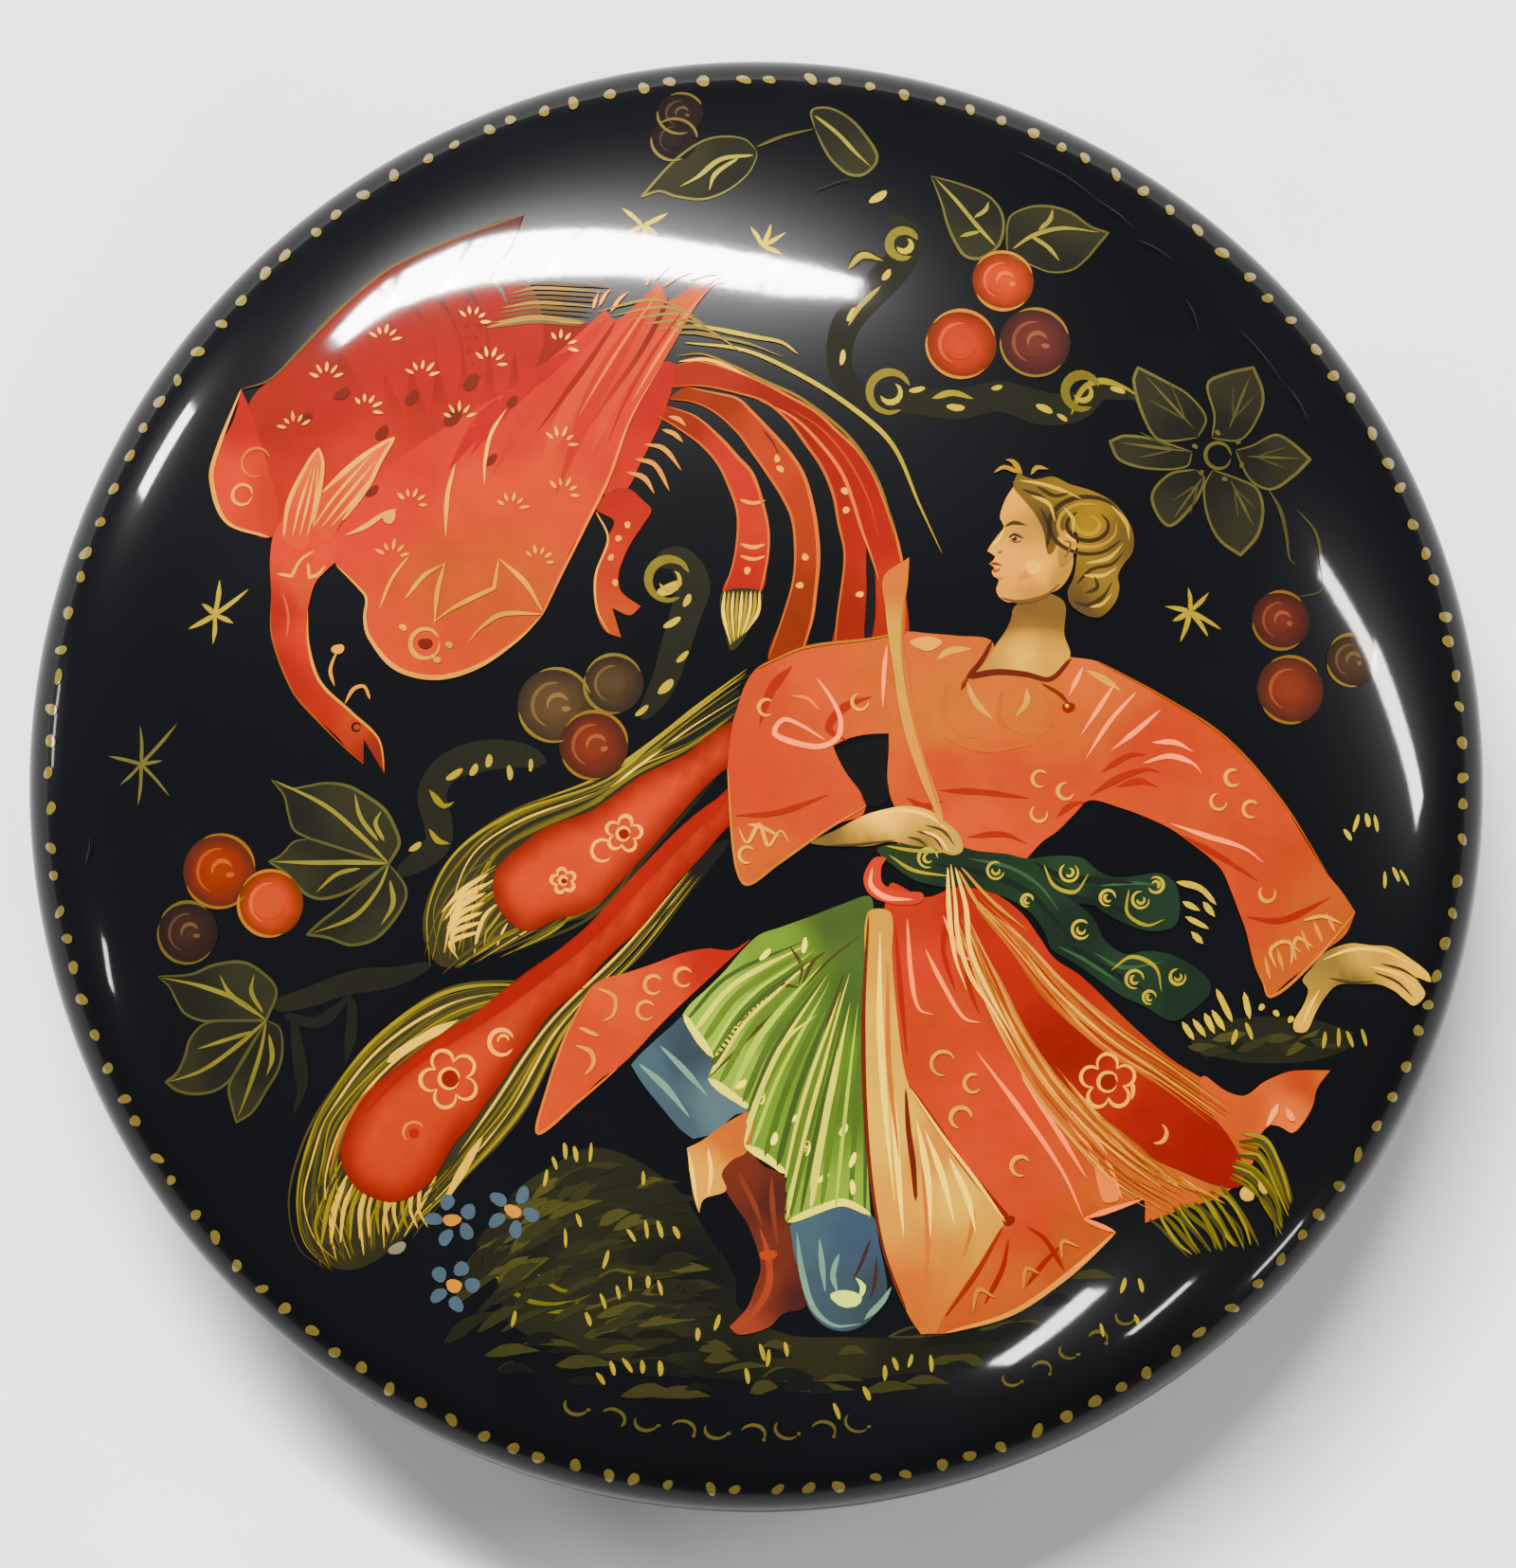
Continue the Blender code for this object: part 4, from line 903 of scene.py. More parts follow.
def paint_coat():
    here = group("coat", 6)
    fill(here, [(7.85, 4.25), (6.7, 4.42), (5.7, 4.5), (5.0, 4.55), (3.75, 4.3), (2.55, 4.15), (1.6, 4.0),
        (0.9, 3.75), (0.3, 3.5), (-0.05, 3.25), (-0.35, 2.8), (-0.6, 2.1), (-0.8, 1.4), (-0.95, 0.0),
        (-0.9, -1.2), (-0.7, -3.1), (-0.6, -3.65), (-0.33, -3.88, 1), (0.13, -3.65), (0.7, -3.2),
        (1.45, -2.6), (2.2, -2.15), (2.9, -1.8), (3.5, -1.6), (3.65, -1.27, 1), (3.45, -0.8), (3.0, -0.2),
        (2.7, 0.35), (2.55, 0.72, 1), (3.0, 0.95), (3.6, 1.1), (4.4, 1.15, 1), (4.4, 0.63), (4.35, -0.3),
        (4.45, -0.95), (4.65, -1.5), (4.7, -2.7, 1), (6.6, -2.75), (8.0, -2.9), (8.95, -3.05, 1),
        (9.5, -2.45), (10.0, -2.1), (10.6, -1.5), (11.1, -1.05), (12.15, -1.3), (13.0, -1.6), (13.85, -2.0),
        (14.5, -2.45), (15.1, -2.9), (15.55, -3.35), (15.85, -4.0), (16.1, -4.65), (16.35, -5.3),
        (16.7, -6.6), (17.2, -7.6, 1), (17.85, -7.0), (18.55, -6.5), (19.1, -6.0), (19.8, -5.45),
        (20.15, -4.7, 1), (19.7, -4.05), (19.15, -3.4), (18.6, -2.6), (18.1, -1.8), (17.6, -1.0),
        (17.0, -0.25), (16.4, 0.4), (15.7, 1.1), (15.0, 1.55), (14.2, 2.1), (13.5, 2.5), (12.8, 2.9),
        (12.0, 3.25), (11.4, 3.6), (10.4, 3.75, 1), (9.8, 3.0), (9.0, 3.15), (8.0, 3.2)], COAT, [(0.2, 2.4,
        COAT), (-0.2, -0.6, (242, 92, 38)), (0.0, -3.0, (240, 116, 46)), (2.4, -1.6, COAT), (1.8, 3.4,
        (240, 112, 48)), (4.2, 3.6, (240, 118, 46)), (5.6, 4.0, (242, 122, 46)), (6.6, 2.6, CHEST), (6.4,
        1.5, CHEST), (7.8, 1.9, (242, 132, 44)), (9.2, 1.9, (242, 128, 44)), (10.3, 1.4, (240, 116, 44)),
        (11.2, 2.9, (244, 124, 48)), (6.3, 0.0, COAT), (8.4, 0.0, COAT), (7.6, -1.8, (242, 110, 46)), (10.2,
        -0.6, COAT), (13.4, 0.6, (242, 92, 38)), (15.6, -0.6, COAT), (17.2, -2.6, (238, 96, 42)), (16.8,
        -5.0, COAT), (18.4, -5.6, (238, 116, 48)), (19.4, -4.9, (238, 114, 48)), (17.4, -6.9,
        (238, 116, 48)), (14.6, -1.9, (236, 104, 54))])
    shade = group("coat_shading", 7)
    strokes(shade, [[(3.0, 0.9), (2.4, 1.3), (2.9, 2.0), (3.9, 2.4)], [(1.2, 3.4), (0.5, 2.6), (0.1, 1.4)]],
        0.3, FOLD, (0.2, 0.1))
    strokes(shade, [[(6.1, -0.75), (7.5, -0.8), (9.1, -1.0)], [(7.0, -2.3), (8.2, -2.2), (9.0, -2.5)],
        [(11.1, -0.9), (12.0, -0.35), (13.0, 0.0), (13.5, -0.1)], [(11.5, -0.1), (12.4, 0.45), (13.0, 0.5)],
        [(14.2, -2.2), (15.5, -2.9), (16.8, -3.7)], [(12.0, -0.6), (12.8, -0.4), (13.4, -0.6)],
        [(16.4, -4.9), (17.6, -5.0), (19.3, -4.2)], [(5.0, -1.0), (5.6, -1.3), (6.2, -1.1)], [(-0.7, -1.6),
        (0.7, -1.5), (2.4, -0.9)], [(10.0, -1.6), (10.5, -1.2), (11.0, -1.1)]], 0.2, FOLD, (0.15, 0.1))
    strokes(shade, [[(6.4, 2.9), (6.2, 1.8), (6.8, 1.1), (7.4, 1.0)], [(8.2, 2.7), (8.1, 1.6), (8.9, 1.1)],
        [(9.7, 2.4), (9.8, 1.6), (9.3, 0.9)], [(6.2, 1.0), (7.6, 0.6), (9.2, 0.8)]], 0.16, (236, 122, 44),
        (0.2, 0.2))
    strokes(shade, [[(7.0, 2.9), (7.3, 2.2), (7.9, 1.6)], [(9.0, 2.7), (9.0, 2.2), (8.6, 1.7)], [(6.0, 3.6),
        (6.4, 3.9), (7.2, 4.0)], [(11.0, 3.3), (11.6, 3.0), (12.2, 2.6)]], 0.22, (248, 172, 66), (0.2, 0.1))
    lights = group("coat_highlights", 8)
    strokes(lights, [[(12.7, 2.6), (11.8, 1.6), (10.95, 0.3)], [(13.5, 2.0), (12.7, 1.3), (11.8, 0.6)],
        [(12.0, 2.9), (11.4, 2.0), (10.8, 1.1)], [(12.9, 0.2), (13.8, 0.45), (14.6, 0.2), (14.9, -0.15)],
        [(13.8, -1.8), (15.0, -2.2), (16.3, -2.6), (17.0, -3.1)], [(4.35, 4.1), (4.25, 3.2), (4.2, 2.0)],
        [(10.9, 3.4), (10.6, 2.8), (10.4, 2.4)], [(13.2, 0.9), (14.0, 0.9), (14.6, 0.6)]], 0.16, PINK,
        (0.3, 0.1))
    stroke(lights, [(2.0, 3.0), (2.5, 2.3), (2.8, 1.6), (2.7, 1.0), (2.1, 0.7), (1.2, 0.85), (0.6, 1.15),
        (0.9, 1.6), (1.5, 1.4), (2.3, 0.9)], 0.2, PINK, (0.3, 0.4))
    stroke(lights, [(2.1, 1.9), (1.7, 2.3), (1.1, 2.4)], 0.14, (246, 150, 110), (0.3, 0.2))
    fill(lights, [(5.1, 4.2), (5.7, 4.4), (6.2, 4.2), (5.7, 3.9)], (248, 176, 90))
    for k in range(6):
        stroke(lights, [(17.2 + 0.45 * k, -7.0 + 0.32 * k), (17.0 + 0.42 * k, -6.2 + 0.3 * k)], 0.14,
            (246, 164, 84), (0.3, 0.2))
    trim = group("coat_trim", 9, GOLD)
    for x, y, turn in ((9.45, -0.35, 0), (10.3, -0.75, 40), (9.4, -1.5, 80), (15.95, -0.25, 20),
            (15.45, -1.05, 60), (16.55, -1.3, 0), (17.1, -4.1, 90), (0.35, 2.0, 10), (3.45, 2.2, 60),
            (-0.3, -2.9, 0)):
        arc(trim, x, y, 0.27, turn + 40, turn + 300, 0.13, (248, 184, 110))
    strokes(trim, [[(17.4, -6.6), (17.2, -6.0), (17.7, -5.7), (18.3, -6.1)], [(18.3, -5.0), (19.0, -4.85),
        (19.7, -5.1)], [(-0.3, -1.9), (0.1, -1.95), (0.8, -2.3)], [(-0.6, -2.0), (-0.3, -2.5), (0.1, -1.9),
        (0.4, -2.6), (0.8, -2.1), (1.1, -2.5)], [(17.9, -6.5), (18.1, -5.6), (18.7, -5.9)]], 0.13,
        (248, 190, 110), (0.4, 0.3))
    outline(trim, [(-0.95, 0.0), (-0.7, -3.1), (-0.33, -3.88), (0.7, -3.2), (2.2, -2.15), (3.65, -1.27)],
        0.09, (240, 150, 80), False)
    outline(trim, [(16.9, -6.9), (17.2, -7.55), (18.55, -6.5), (20.1, -4.75)], 0.1, (240, 156, 84), False)
    outline(trim, [(0.0, 3.3), (1.6, 4.0), (3.75, 4.3), (5.0, 4.55)], 0.08, (206, 140, 70), False)
    outline(trim, [(11.4, 3.6), (13.5, 2.5), (15.7, 1.1), (17.6, -1.0), (19.15, -3.4)], 0.08,
        (206, 120, 60), False)
    collar = group("coat_collar", 9)
    stroke(collar, [(7.85, 4.25), (7.5, 3.6), (7.05, 3.05, 1), (8.0, 3.22), (9.0, 3.15), (9.8, 3.0),
        (10.5, 3.7)], 0.18, (140, 40, 34), (0.8, 0.8))
    strokes(collar, [[(7.05, 3.05), (6.8, 2.6)], [(9.5, 2.85), (10.1, 2.5), (10.5, 2.05)]], 0.12,
        (160, 56, 36))
    dab(collar, 10.4, 2.05, 0.4, 0.36, 0, (176, 48, 34))
    dab(collar, 10.35, 2.1, 0.14, 0.12, 0, (248, 190, 110))
    fill(group("coat_opening", 6), [(2.7, 0.5), (3.4, 0.85), (4.35, 0.9), (4.3, 0.0), (4.4, -1.0),
        (4.0, -1.3), (3.6, -1.2), (3.45, -0.8), (3.0, -0.2)], NIGHT)


def paint_head():
    here = group("head", 8)
    fill(group("neck", 7), [(8.6, 5.4), (8.5, 5.0), (8.25, 4.5), (8.0, 4.15), (7.6, 3.5), (7.25, 3.1),
        (8.6, 3.25), (9.8, 2.98), (10.47, 3.75), (10.28, 4.5), (10.28, 5.6), (9.4, 5.9)], SKIN, [(8.5, 4.9,
        (160, 116, 70)), (9.9, 5.1, (150, 108, 62)), (8.8, 3.9, (230, 192, 126)), (9.9, 3.6,
        (214, 172, 112)), (7.8, 3.5, (206, 160, 104)), (9.2, 5.3, (150, 108, 64))])
    fill(here, [(8.95, 9.75), (8.45, 9.25), (8.22, 8.75), (8.15, 8.4), (8.28, 8.12), (8.05, 7.8),
        (7.78, 7.42), (7.72, 7.28), (7.98, 7.12), (7.9, 6.96), (7.78, 6.86), (7.96, 6.72), (7.86, 6.6),
        (7.92, 6.44), (8.1, 6.3), (8.0, 6.02), (8.1, 5.74), (8.4, 5.56), (8.8, 5.6), (9.5, 5.78),
        (10.2, 6.1), (10.6, 6.9), (10.4, 8.0), (9.9, 9.2)], SKIN, [(8.4, 8.9, (226, 184, 122)), (8.5, 7.2,
        (228, 186, 124)), (8.4, 6.0, (222, 176, 120)), (9.4, 6.7, (230, 190, 130)), (9.2, 5.95,
        (206, 152, 100)), (10.1, 6.4, (196, 150, 96)), (9.8, 8.2, (200, 158, 100)), (8.9, 7.9,
        (206, 160, 108)), (8.6, 6.9, (230, 176, 130))])
    face = group("face", 9)
    strokes(face, [[(8.3, 8.12), (8.6, 8.26), (9.05, 8.18)]], 0.12, (112, 76, 46), (0.4, 0.2))
    stroke(face, [(8.42, 7.74), (8.62, 7.86), (8.95, 7.72)], 0.09, (84, 54, 36), (0.5, 0.4))
    stroke(face, [(8.46, 7.66), (8.68, 7.6), (8.9, 7.66)], 0.05, (150, 104, 70))
    dab(face, 8.62, 7.72, 0.17, 0.16, 0, (60, 44, 34))
    dab(face, 8.58, 7.76, 0.05, 0.05, 0, (240, 226, 200))
    dab(face, 8.14, 7.26, 0.16, 0.08, 30, (170, 116, 78))
    stroke(face, [(7.8, 6.87), (8.0, 6.86), (8.22, 6.8)], 0.1, (176, 74, 58), (0.7, 0.3))
    stroke(face, [(7.87, 6.66), (8.0, 6.62), (8.16, 6.7)], 0.1, (198, 100, 78), (0.6, 0.3))
    stroke(face, [(8.0, 6.42), (8.12, 6.36), (8.24, 6.4)], 0.07, (196, 146, 100))
    stroke(face, [(8.3, 8.05), (8.14, 7.76), (7.86, 7.42)], 0.08, (242, 212, 160), (0.3, 0.3))
    stroke(face, [(8.12, 5.72), (8.8, 5.58), (9.6, 5.78), (10.15, 6.2)], 0.12, (150, 106, 64), (0.3, 0.3))
    dab(face, 9.25, 6.75, 0.6, 0.45, 10, (234, 196, 138))
    dab(face, 9.0, 6.5, 0.5, 0.3, 30, (226, 160, 116))
    ear = group("ear", 10)
    fill(ear, [(10.15, 7.75), (10.5, 7.9), (10.72, 7.6), (10.6, 7.2), (10.35, 6.85), (10.15, 6.8),
        (10.1, 7.2)], (214, 166, 110), [(10.3, 7.3, (180, 130, 84)), (10.6, 7.7, (232, 192, 136))])
    stroke(ear, [(10.25, 7.65), (10.5, 7.6), (10.42, 7.25), (10.25, 7.05)], 0.07, (150, 104, 64))
    hair = group("hair", 9)
    fill(hair, [(8.75, 9.95, 1), (9.3, 9.75), (9.95, 9.85), (10.5, 9.6), (11.2, 9.4), (11.9, 9.05),
        (12.4, 8.5), (12.65, 7.9), (12.6, 7.3), (12.3, 6.9), (12.1, 6.5), (12.15, 6.1), (12.0, 5.6),
        (11.5, 5.1), (11.0, 5.15), (10.5, 5.5), (10.4, 5.95), (10.6, 6.4), (10.7, 7.0), (10.75, 7.9),
        (10.2, 8.0), (9.95, 7.3), (9.75, 7.2), (9.6, 8.0), (9.3, 8.6), (8.9, 9.1), (8.6, 9.5)], HAIR, [(9.2,
        9.5, (150, 116, 62)), (11.1, 8.2, (186, 148, 78)), (12.3, 7.8, (140, 104, 56)), (11.8, 6.2,
        (168, 130, 70)), (10.9, 5.4, (120, 86, 48)), (9.9, 8.4, (110, 78, 44)), (10.2, 9.2,
        (170, 134, 70))])
    curls = group("hair_curls", 10, GOLD)
    for k in range(4):
        arc(curls, 11.1, 8.2, 1.3 - 0.3 * k, 20 + 50 * k, 330 + 40 * k, 0.15, (HAIR_DARK,
            (206, 170, 92))[k % 2], 0.75)
    strokes(curls, [[(8.9, 9.4), (9.6, 9.1), (10.1, 8.4)], [(9.4, 9.5), (10.0, 9.2), (10.5, 9.3)],
        [(9.7, 7.4), (9.8, 8.1), (9.5, 8.8)], [(10.7, 6.2), (11.2, 6.7), (11.9, 6.9), (12.3, 7.3)],
        [(10.6, 5.6), (11.1, 5.5), (11.6, 5.8), (11.9, 6.3)], [(11.0, 5.9), (11.4, 6.1), (11.3, 6.5)]],
        0.12, HAIR_DARK, (0.4, 0.2))
    strokes(curls, [[(8.8, 9.7), (9.5, 9.6), (10.2, 9.4), (10.9, 9.1)], [(9.2, 9.2), (9.8, 8.9),
        (10.0, 8.3)], [(10.9, 5.5), (11.5, 5.5), (11.9, 5.9)], [(10.9, 6.5), (11.6, 6.5), (12.1, 6.8)],
        [(11.0, 6.9), (11.8, 7.1), (12.3, 7.6)], [(11.9, 8.9), (12.4, 8.3), (12.5, 7.7)], [(10.3, 8.8),
        (10.6, 8.4), (10.6, 7.9)]], 0.12, (222, 188, 108), (0.3, 0.2))
    strokes(curls, [[(8.8, 9.95), (8.3, 10.15), (7.95, 9.95)], [(8.9, 9.9), (8.6, 10.35), (8.35, 10.4)],
        [(9.2, 9.9), (9.4, 10.15), (9.8, 10.1)]], 0.16, (200, 160, 90), (0.6, 0.2))


def paint_hands():
    here = group("hands", 9)
    fill(here, [(1.8, -2.5), (2.6, -2.1), (3.55, -1.6), (4.2, -1.4), (4.97, -1.27), (5.7, -1.4),
        (6.3, -1.8), (6.75, -2.25), (6.85, -2.75), (6.5, -2.9), (5.8, -2.65), (5.25, -2.6), (4.5, -2.45),
        (3.75, -2.6), (2.85, -2.6)], HAND, [(2.2, -2.4, (150, 116, 70)), (4.2, -1.7, HAND_LIGHT), (5.4,
        -1.6, (220, 186, 128)), (4.0, -2.4, (160, 126, 76)), (6.4, -2.5, (206, 174, 116)), (5.6, -2.4,
        (170, 134, 80))])
    fill(here, [(18.3, -7.0), (18.6, -6.6), (19.1, -6.05), (19.9, -5.75), (20.7, -5.8), (21.4, -5.85),
        (22.05, -6.2), (22.75, -6.7), (22.85, -7.0), (22.3, -6.85), (22.65, -7.4), (22.25, -7.8),
        (21.9, -7.6), (21.5, -7.3), (20.95, -7.1), (20.3, -7.1), (19.5, -7.15), (19.05, -7.6),
        (18.75, -8.1), (18.45, -8.7), (18.05, -8.7), (18.0, -8.4), (18.35, -7.8), (18.5, -7.3)], HAND,
        [(19.2, -6.3, (170, 138, 84)), (20.4, -6.2, (214, 184, 126)), (22.3, -7.0, (228, 198, 140)), (18.4,
        -8.3, (222, 190, 132)), (20.0, -7.0, (150, 118, 70)), (19.0, -7.2, (190, 158, 100))])
    lines = group("hand_lines", 10)
    strokes(lines, [[(5.6, -1.9), (6.2, -2.1), (6.6, -2.6)], [(5.3, -2.1), (5.9, -2.3), (6.2, -2.75)],
        [(5.0, -2.3), (5.4, -2.4), (5.7, -2.65)], [(2.2, -2.6), (3.4, -2.55), (4.6, -2.4)], [(21.0, -6.4),
        (21.8, -6.6), (22.5, -7.0)], [(20.8, -6.7), (21.6, -7.0), (22.2, -7.5)], [(19.2, -6.9),
        (20.0, -7.05), (20.8, -7.0)]], 0.09, (112, 78, 44), (0.3, 0.3))
    strokes(lines, [[(3.6, -1.75), (4.6, -1.45), (5.6, -1.55), (6.4, -2.1)], [(5.5, -2.1), (6.0, -2.3),
        (6.4, -2.8)], [(19.0, -6.3), (20.0, -5.95), (21.2, -6.0), (22.2, -6.5)], [(20.6, -6.5),
        (21.6, -6.75), (22.4, -7.3)], [(18.3, -8.5), (18.6, -7.8), (18.9, -7.3)]], 0.12, HAND_LIGHT,
        (0.3, 0.3))


def paint_sash():
    here = group("sash", 8)
    fill(here, [(4.0, -2.7), (4.6, -3.3), (5.3, -3.75), (6.2, -3.95), (7.0, -3.95), (7.7, -4.1),
        (8.5, -4.4), (9.2, -4.9), (9.6, -5.5), (9.8, -6.0), (10.3, -6.3), (10.85, -6.65), (11.5, -7.1),
        (12.15, -7.55), (12.95, -7.9), (13.6, -8.3), (14.05, -8.35), (14.7, -7.9), (15.15, -7.45),
        (15.1, -7.0), (14.5, -6.5), (13.75, -6.15), (13.0, -6.05), (12.25, -6.15), (11.6, -5.7),
        (11.2, -4.95), (10.7, -4.5, 1), (11.0, -4.4), (11.6, -4.8), (12.4, -5.2), (13.2, -5.4),
        (13.9, -5.25), (14.1, -4.9), (14.1, -4.2), (13.9, -3.7), (13.4, -3.45), (12.7, -3.55), (11.9, -3.6),
        (11.3, -3.35), (10.9, -3.0), (10.2, -2.9), (9.5, -2.95), (9.0, -3.0), (8.3, -2.85), (7.3, -2.75),
        (6.7, -2.6), (5.2, -2.5)], SASH, [(4.8, -3.0, (56, 76, 40)), (6.6, -3.3, (34, 60, 36)), (9.0, -3.6,
        (40, 72, 40)), (10.6, -3.4, (52, 84, 50)), (13.2, -4.2, (44, 76, 48)), (10.4, -5.4, (30, 54, 36)),
        (12.6, -6.8, (46, 80, 50)), (14.4, -7.3, (34, 62, 40)), (11.6, -4.2, (28, 50, 34))])
    folds = group("sash_folds", 9)
    strokes(folds, [[(6.0, -3.2), (7.6, -3.5), (9.0, -4.1), (9.9, -5.0), (10.6, -5.8)], [(9.4, -3.3),
        (10.6, -4.3), (11.6, -4.5), (12.6, -4.9)], [(10.3, -5.8), (11.6, -6.6), (13.0, -7.4)], [(9.2, -3.1),
        (10.2, -3.6), (11.3, -3.7), (12.6, -3.8)]], 0.2, SASH_DARK, (0.2, 0.2))
    strokes(folds, [[(7.0, -3.0), (8.4, -3.3), (9.4, -3.9), (10.1, -4.8)], [(11.2, -6.1), (12.2, -6.6),
        (13.6, -6.4)], [(11.4, -3.9), (12.6, -3.8), (13.6, -3.9)], [(10.0, -5.9), (11.0, -6.4),
        (12.2, -7.2)]], 0.13, (84, 118, 78), (0.2, 0.1))
    gold = group("sash_gold", 10, GOLD)
    for x, y, radius, turn in ((5.7, -3.0, 0.32, 0), (7.95, -3.4, 0.28, 60), (10.4, -3.45, 0.3, 120),
                               (11.7, -4.3, 0.26, 0), (12.8, -4.35, 0.28, 80), (13.3, -3.85, 0.26, 200),
                               (10.8, -5.35, 0.3, 40), (12.6, -7.0, 0.3, 0), (14.05, -6.9, 0.26, 90),
                               (13.1, -7.6, 0.22, 0), (9.0, -4.4, 0.2, 0)):
        arc(gold, x, y, radius, turn, turn + 290, 0.1, (216, 202, 118))
        arc(gold, x, y, radius * 0.45, turn + 90, turn + 330, 0.1, (216, 202, 118))
    strokes(gold, [[(9.55, -3.2), (9.9, -3.9), (10.6, -4.1), (11.05, -3.5)], [(12.4, -4.0), (12.35, -4.8),
        (13.0, -5.2), (13.6, -5.0)], [(11.8, -6.7), (12.5, -6.25), (13.3, -6.6), (13.5, -7.4)],
        [(4.4, -2.9), (5.2, -3.4), (6.4, -3.6)], [(4.3, -2.6), (5.2, -2.75), (6.4, -2.8)]], 0.12,
        (200, 188, 108), (0.3, 0.3))
    strokes(gold, [[(14.0, -3.75), (14.8, -3.95), (15.35, -4.5)], [(14.9, -4.4), (15.3, -4.9)],
        [(14.3, -4.9), (15.1, -5.3)], [(14.5, -5.4), (14.9, -5.8)], [(14.2, -8.4), (14.6, -9.0)],
        [(14.55, -8.3), (15.0, -8.9)], [(14.95, -8.1), (15.3, -8.8)], [(15.2, -8.0), (15.65, -8.7)],
        [(15.35, -7.3), (15.9, -8.4)], [(16.3, -7.4), (16.5, -8.3)], [(14.2, -4.4), (14.8, -4.7)]], 0.2,
        (224, 208, 130), (0.5, 0.5))
    dots(gold, [(16.9, -7.9), (17.4, -8.1), (17.9, -8.3)], 0.24, (224, 208, 130))
    knot = group("sash_knot", 9)
    fill(knot, [(3.9, -3.0), (3.55, -3.65), (3.75, -4.2), (4.4, -4.5), (5.15, -4.55), (5.55, -4.4),
        (5.5, -4.15), (4.8, -4.1), (4.2, -3.85), (4.15, -3.3), (4.3, -3.0)], (232, 92, 50))
    stroke(knot, [(3.85, -3.3), (3.8, -3.9), (4.3, -4.3), (5.2, -4.38)], 0.18, PINK, (0.3, 0.3))


def paint_underskirt():
    here = group("underskirt", 5)
    fill(here, [(3.8, -4.3), (2.8, -4.55), (1.9, -4.9), (0.8, -5.3), (0.1, -5.55), (-0.5, -6.1),
        (-1.05, -6.75), (-1.6, -7.3), (-2.2, -7.85), (-2.45, -8.2, 1), (-1.95, -8.9), (-1.43, -9.6),
        (-1.6, -10.3, 1), (-0.9, -10.8), (-0.2, -11.3), (-0.4, -12.5, 1), (0.3, -12.9), (1.0, -13.45),
        (0.95, -14.95), (1.1, -15.1, 1), (2.15, -14.6), (2.9, -14.4), (3.8, -14.9, 1), (3.7, -13.1),
        (3.7, -11.25), (3.7, -9.4), (3.7, -7.55), (3.8, -5.7)], GREEN, [(2.8, -5.0, (104, 122, 62)), (0.6,
        -6.2, (150, 170, 88)), (-1.6, -7.9, (180, 194, 112)), (1.0, -8.6, (132, 156, 76)), (3.3, -7.6,
        (100, 124, 58)), (-0.8, -10.0, (178, 190, 112)), (0.4, -11.6, (150, 172, 88)), (1.8, -12.6,
        (134, 160, 76)), (3.2, -11.0, (118, 142, 66)), (2.4, -14.0, (170, 184, 104)), (2.0, -10.0,
        (140, 164, 80))])
    pleats = group("underskirt_pleats", 6)
    hem = [(-2.3, -8.35), (-1.5, -9.5), (-1.5, -10.2), (-0.3, -11.2), (-0.35, -12.4), (0.95, -13.4),
        (1.05, -14.9), (2.1, -14.5), (3.6, -14.7)]
    for i in range(26):
        share = i / 25
        k = share * (len(hem) - 1)
        j = min(int(k), len(hem) - 2)
        foot = mixed(hem[j], hem[j + 1], k - j)
        top = (3.2 + 0.5 * share, -4.7 - 0.5 * share)
        middle = mixed(top, foot, 0.5)
        bend = (middle[0] - 0.5 * (1 - share), middle[1] + 0.55 * (1 - share))
        tone = [(100, 116, 56), PALE_GREEN, (134, 152, 74), (200, 206, 126), (118, 138, 66)][i % 5]
        stroke(pleats, [foot, mixed(foot, bend, 0.6), mixed(foot, top, 0.72)], RNG.uniform(0.12, 0.24),
            tone, (0.9, 0.05))
    strokes(pleats, [[(-0.4, -12.5), (0.2, -10.5), (1.0, -9.0), (2.0, -8.2)], [(1.0, -15.0), (1.5, -12.5),
        (2.3, -9.5), (3.1, -6.8)], [(1.8, -14.0), (2.2, -12.0), (2.7, -9.3)], [(-1.4, -9.6), (-0.2, -8.2),
        (1.2, -7.0)]], 0.2, PALE_GREEN, (0.6, 0.1))
    strokes(pleats, [[(-1.6, -10.3), (0.0, -8.7), (1.5, -7.3), (2.5, -6.3), (3.4, -5.6)], [(0.4, -7.1),
        (1.5, -7.3)], [(1.5, -11.5), (2.0, -10.0), (2.5, -8.0), (2.9, -6.8)], [(1.1, -5.9), (1.5, -6.6),
        (1.4, -7.2)], [(1.5, -7.2), (1.9, -6.4), (2.3, -6.1)]], 0.11, (112, 84, 44), (0.3, 0.2))
    strokes(pleats, [[(-2.4, -8.2), (-1.95, -8.9), (-1.43, -9.6)], [(-1.6, -10.3), (-0.9, -10.8),
        (-0.2, -11.3)], [(-0.4, -12.5), (0.3, -12.9), (1.0, -13.45)], [(1.05, -15.05), (2.15, -14.6),
        (2.9, -14.4), (3.8, -14.8)]], 0.26, (226, 226, 160), (0.6, 0.6))
    for x, y in ((0.3, -6.2), (1.6, -5.9), (0.6, -12.3), (1.3, -11.6), (2.2, -13.6), (3.2, -13.9),
            (3.2, -13.0), (-0.5, -10.5), (-0.6, -8.6), (0.2, -10.9), (1.7, -12.6), (2.9, -12.0)):
        dab(pleats, x, y, 0.5, 0.2, RNG.uniform(30, 90), (236, 234, 168))


